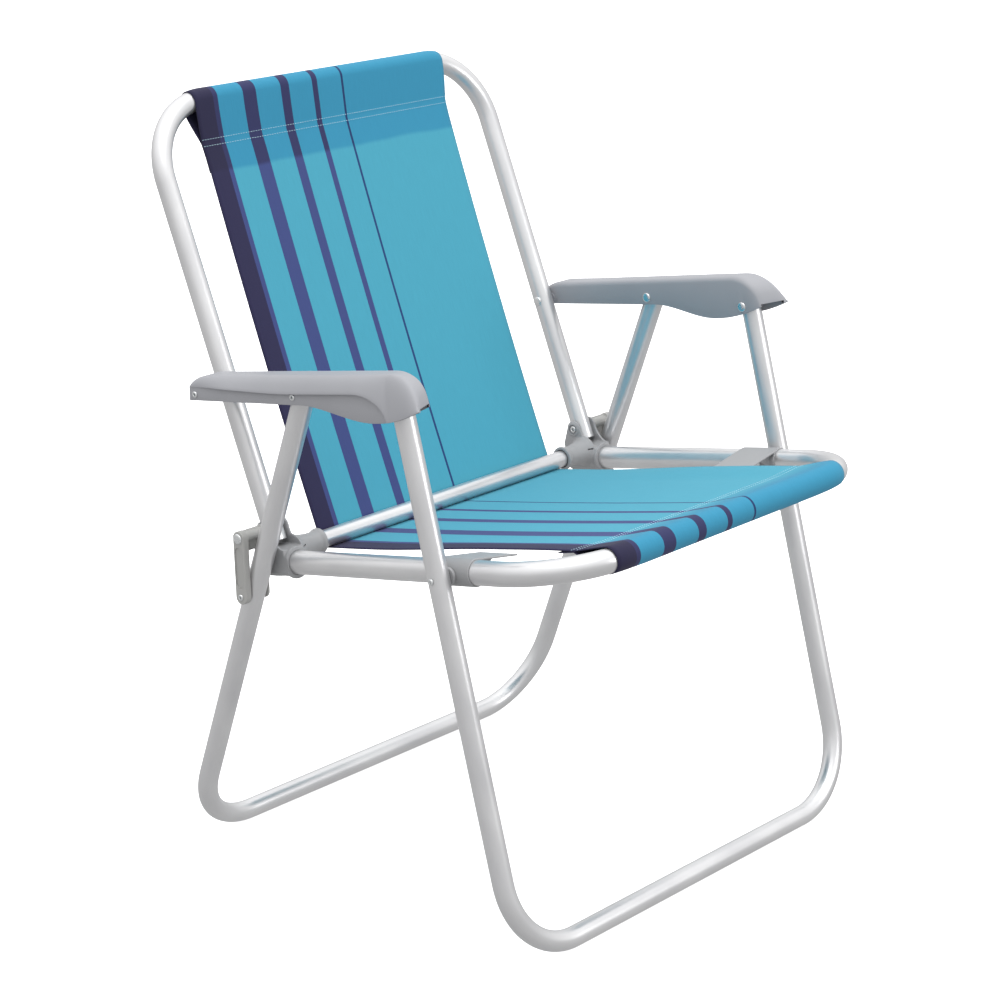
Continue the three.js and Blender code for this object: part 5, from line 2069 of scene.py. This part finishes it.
@dataclass
class Studio:
    """The white sweep, the soft light and the camera of the photograph.

    The camera's target and distance are in millimetres, and the floor's and the lamps' sizes in metres.
    """

    target: tuple = (5.2, 8.97, 310.58)
    azimuth: float = -48.57
    elevation: float = 18.95
    distance: float = 2982.3
    lens: float = 97.70
    sensor: float = 36.0
    far: float = 50.0
    shift: tuple = (-0.01045, 0.05425)
    lamps: tuple = (
        ("top_softbox", (-0.3, -0.6, 3.0), 2.0, 22.0),
        ("front_softbox", (1.1, -2.5, 1.1), 0.9, 11.0),
    )
    lamp_aim: tuple = (0.0, 0.0, 0.4)
    under: float = 0.52
    level: float = 0.64
    above: float = 1.7
    paper: str = "F4F4F4"
    floor_radius: float = 9.0
    floor_curve: float = 3.0
    floor_drop: float = 0.0005
    paper_roughness: float = 0.9
    glow: float = 0.75

    def camera(self) -> None:
        """Sets up the camera at the photograph's place."""
        data = bpy.data.cameras.new("photo_camera")
        data.lens = self.lens
        data.sensor_width = self.sensor
        data.shift_x, data.shift_y = self.shift
        data.clip_end = self.far
        camera = bpy.data.objects.new("photo_camera", data)
        bpy.context.scene.collection.objects.link(camera)
        turn, rise = math.radians(self.azimuth), math.radians(self.elevation)
        away = Vector((math.sin(turn) * math.cos(rise), -math.cos(turn) * math.cos(rise), math.sin(rise)))
        camera.location = (Vector(self.target) + away * self.distance) * MM
        camera.rotation_euler = (-away).to_track_quat("-Z", "Y").to_euler()
        bpy.context.scene.camera = camera

    def lamp(self, name: str, place: Sequence[float], size: float, power: float) -> None:
        """Hangs a soft square lamp that points at the chair.

        Args:
            name: Its name.
            place: Where it hangs, in metres.
            size: Its side in metres.
            power: Its power in watts.
        """
        data = bpy.data.lights.new(name, "AREA")
        data.size = size
        data.energy = power
        lamp = bpy.data.objects.new(name, data)
        lamp.location = place
        way = Vector(self.lamp_aim) - Vector(place)
        lamp.rotation_euler = way.to_track_quat("-Z", "Y").to_euler()
        bpy.context.scene.collection.objects.link(lamp)

    def sky(self) -> None:
        """Lights the studio from all round, a little brighter from above."""
        world = bpy.data.worlds.new("white_studio")
        world.use_nodes = True
        tree = world.node_tree
        tree.nodes.clear()
        way = add_node(tree, "TexCoord").outputs["Generated"]
        height = add_node(tree, "SeparateXYZ", {"Vector": way}).outputs["Z"]
        share = add_node(tree, "Math", {0: height, 1: 0.5, 2: 0.5}, operation="MULTIPLY_ADD")
        ramp = add_node(tree, "ValToRGB", {"Fac": share.outputs["Value"]})
        marks = ramp.color_ramp.elements
        marks[0].color = (self.under, self.under, self.under, 1)
        marks[1].color = (self.above, self.above, self.above, 1)
        marks.new(0.5).color = (self.level, self.level, self.level, 1)
        light = add_node(tree, "Background", {"Color": ramp.outputs["Color"], "Strength": 1.0})
        add_node(tree, "OutputWorld", {"Surface": light.outputs["Background"]})
        bpy.context.scene.world = world

    def floor(self) -> None:
        """Lays the white sweep, which curves up all round and glows a little, so that shadows stay faint."""
        turns = [i * math.pi / 24 for i in range(13)]
        rim, curve = self.floor_radius, self.floor_curve
        line = [(0, 0)] + [(rim + curve * math.sin(t), curve * (1 - math.cos(t))) for t in turns]
        line.append((rim + curve, 3 * curve))
        form = spun([(r, 0, z - self.floor_drop) for r, z in line], (0, 0, 1), 96, 0.0001)
        sweep = to_object(form, "white_sweep")
        sweep.data.shade_smooth()
        values = {
            "Base Color": linear(self.paper),
            "Roughness": self.paper_roughness,
            "Emission Color": (1, 1, 1, 1),
            "Emission Strength": self.glow,
        }
        material, _, _ = new_material("white_paper", values)
        sweep.data.materials.append(material)
        sweep.visible_glossy = False
        sweep.visible_diffuse = False
        sweep.visible_shadow = False

    def build(self) -> None:
        """Sets up the whole studio."""
        self.camera()
        self.sky()
        self.floor()
        for lamp in self.lamps:
            self.lamp(*lamp)
        bpy.context.scene.view_settings.view_transform = "Standard"


def main() -> None:
    """Builds the chair and its studio around the loaded frame."""
    logging.basicConfig(level=logging.INFO, format="%(name)s: %(message)s")
    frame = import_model()
    frames = ChairFrames(frame["joints"])
    finishes = Finishes()
    Studio().build()
    for assembly in (BentTubes, HingeConnectors, LegSaddles, LinkYokes, Armrests, Fasteners, Sling):
        assembly(frames, finishes).build()


if __name__ == "__main__":
    main()
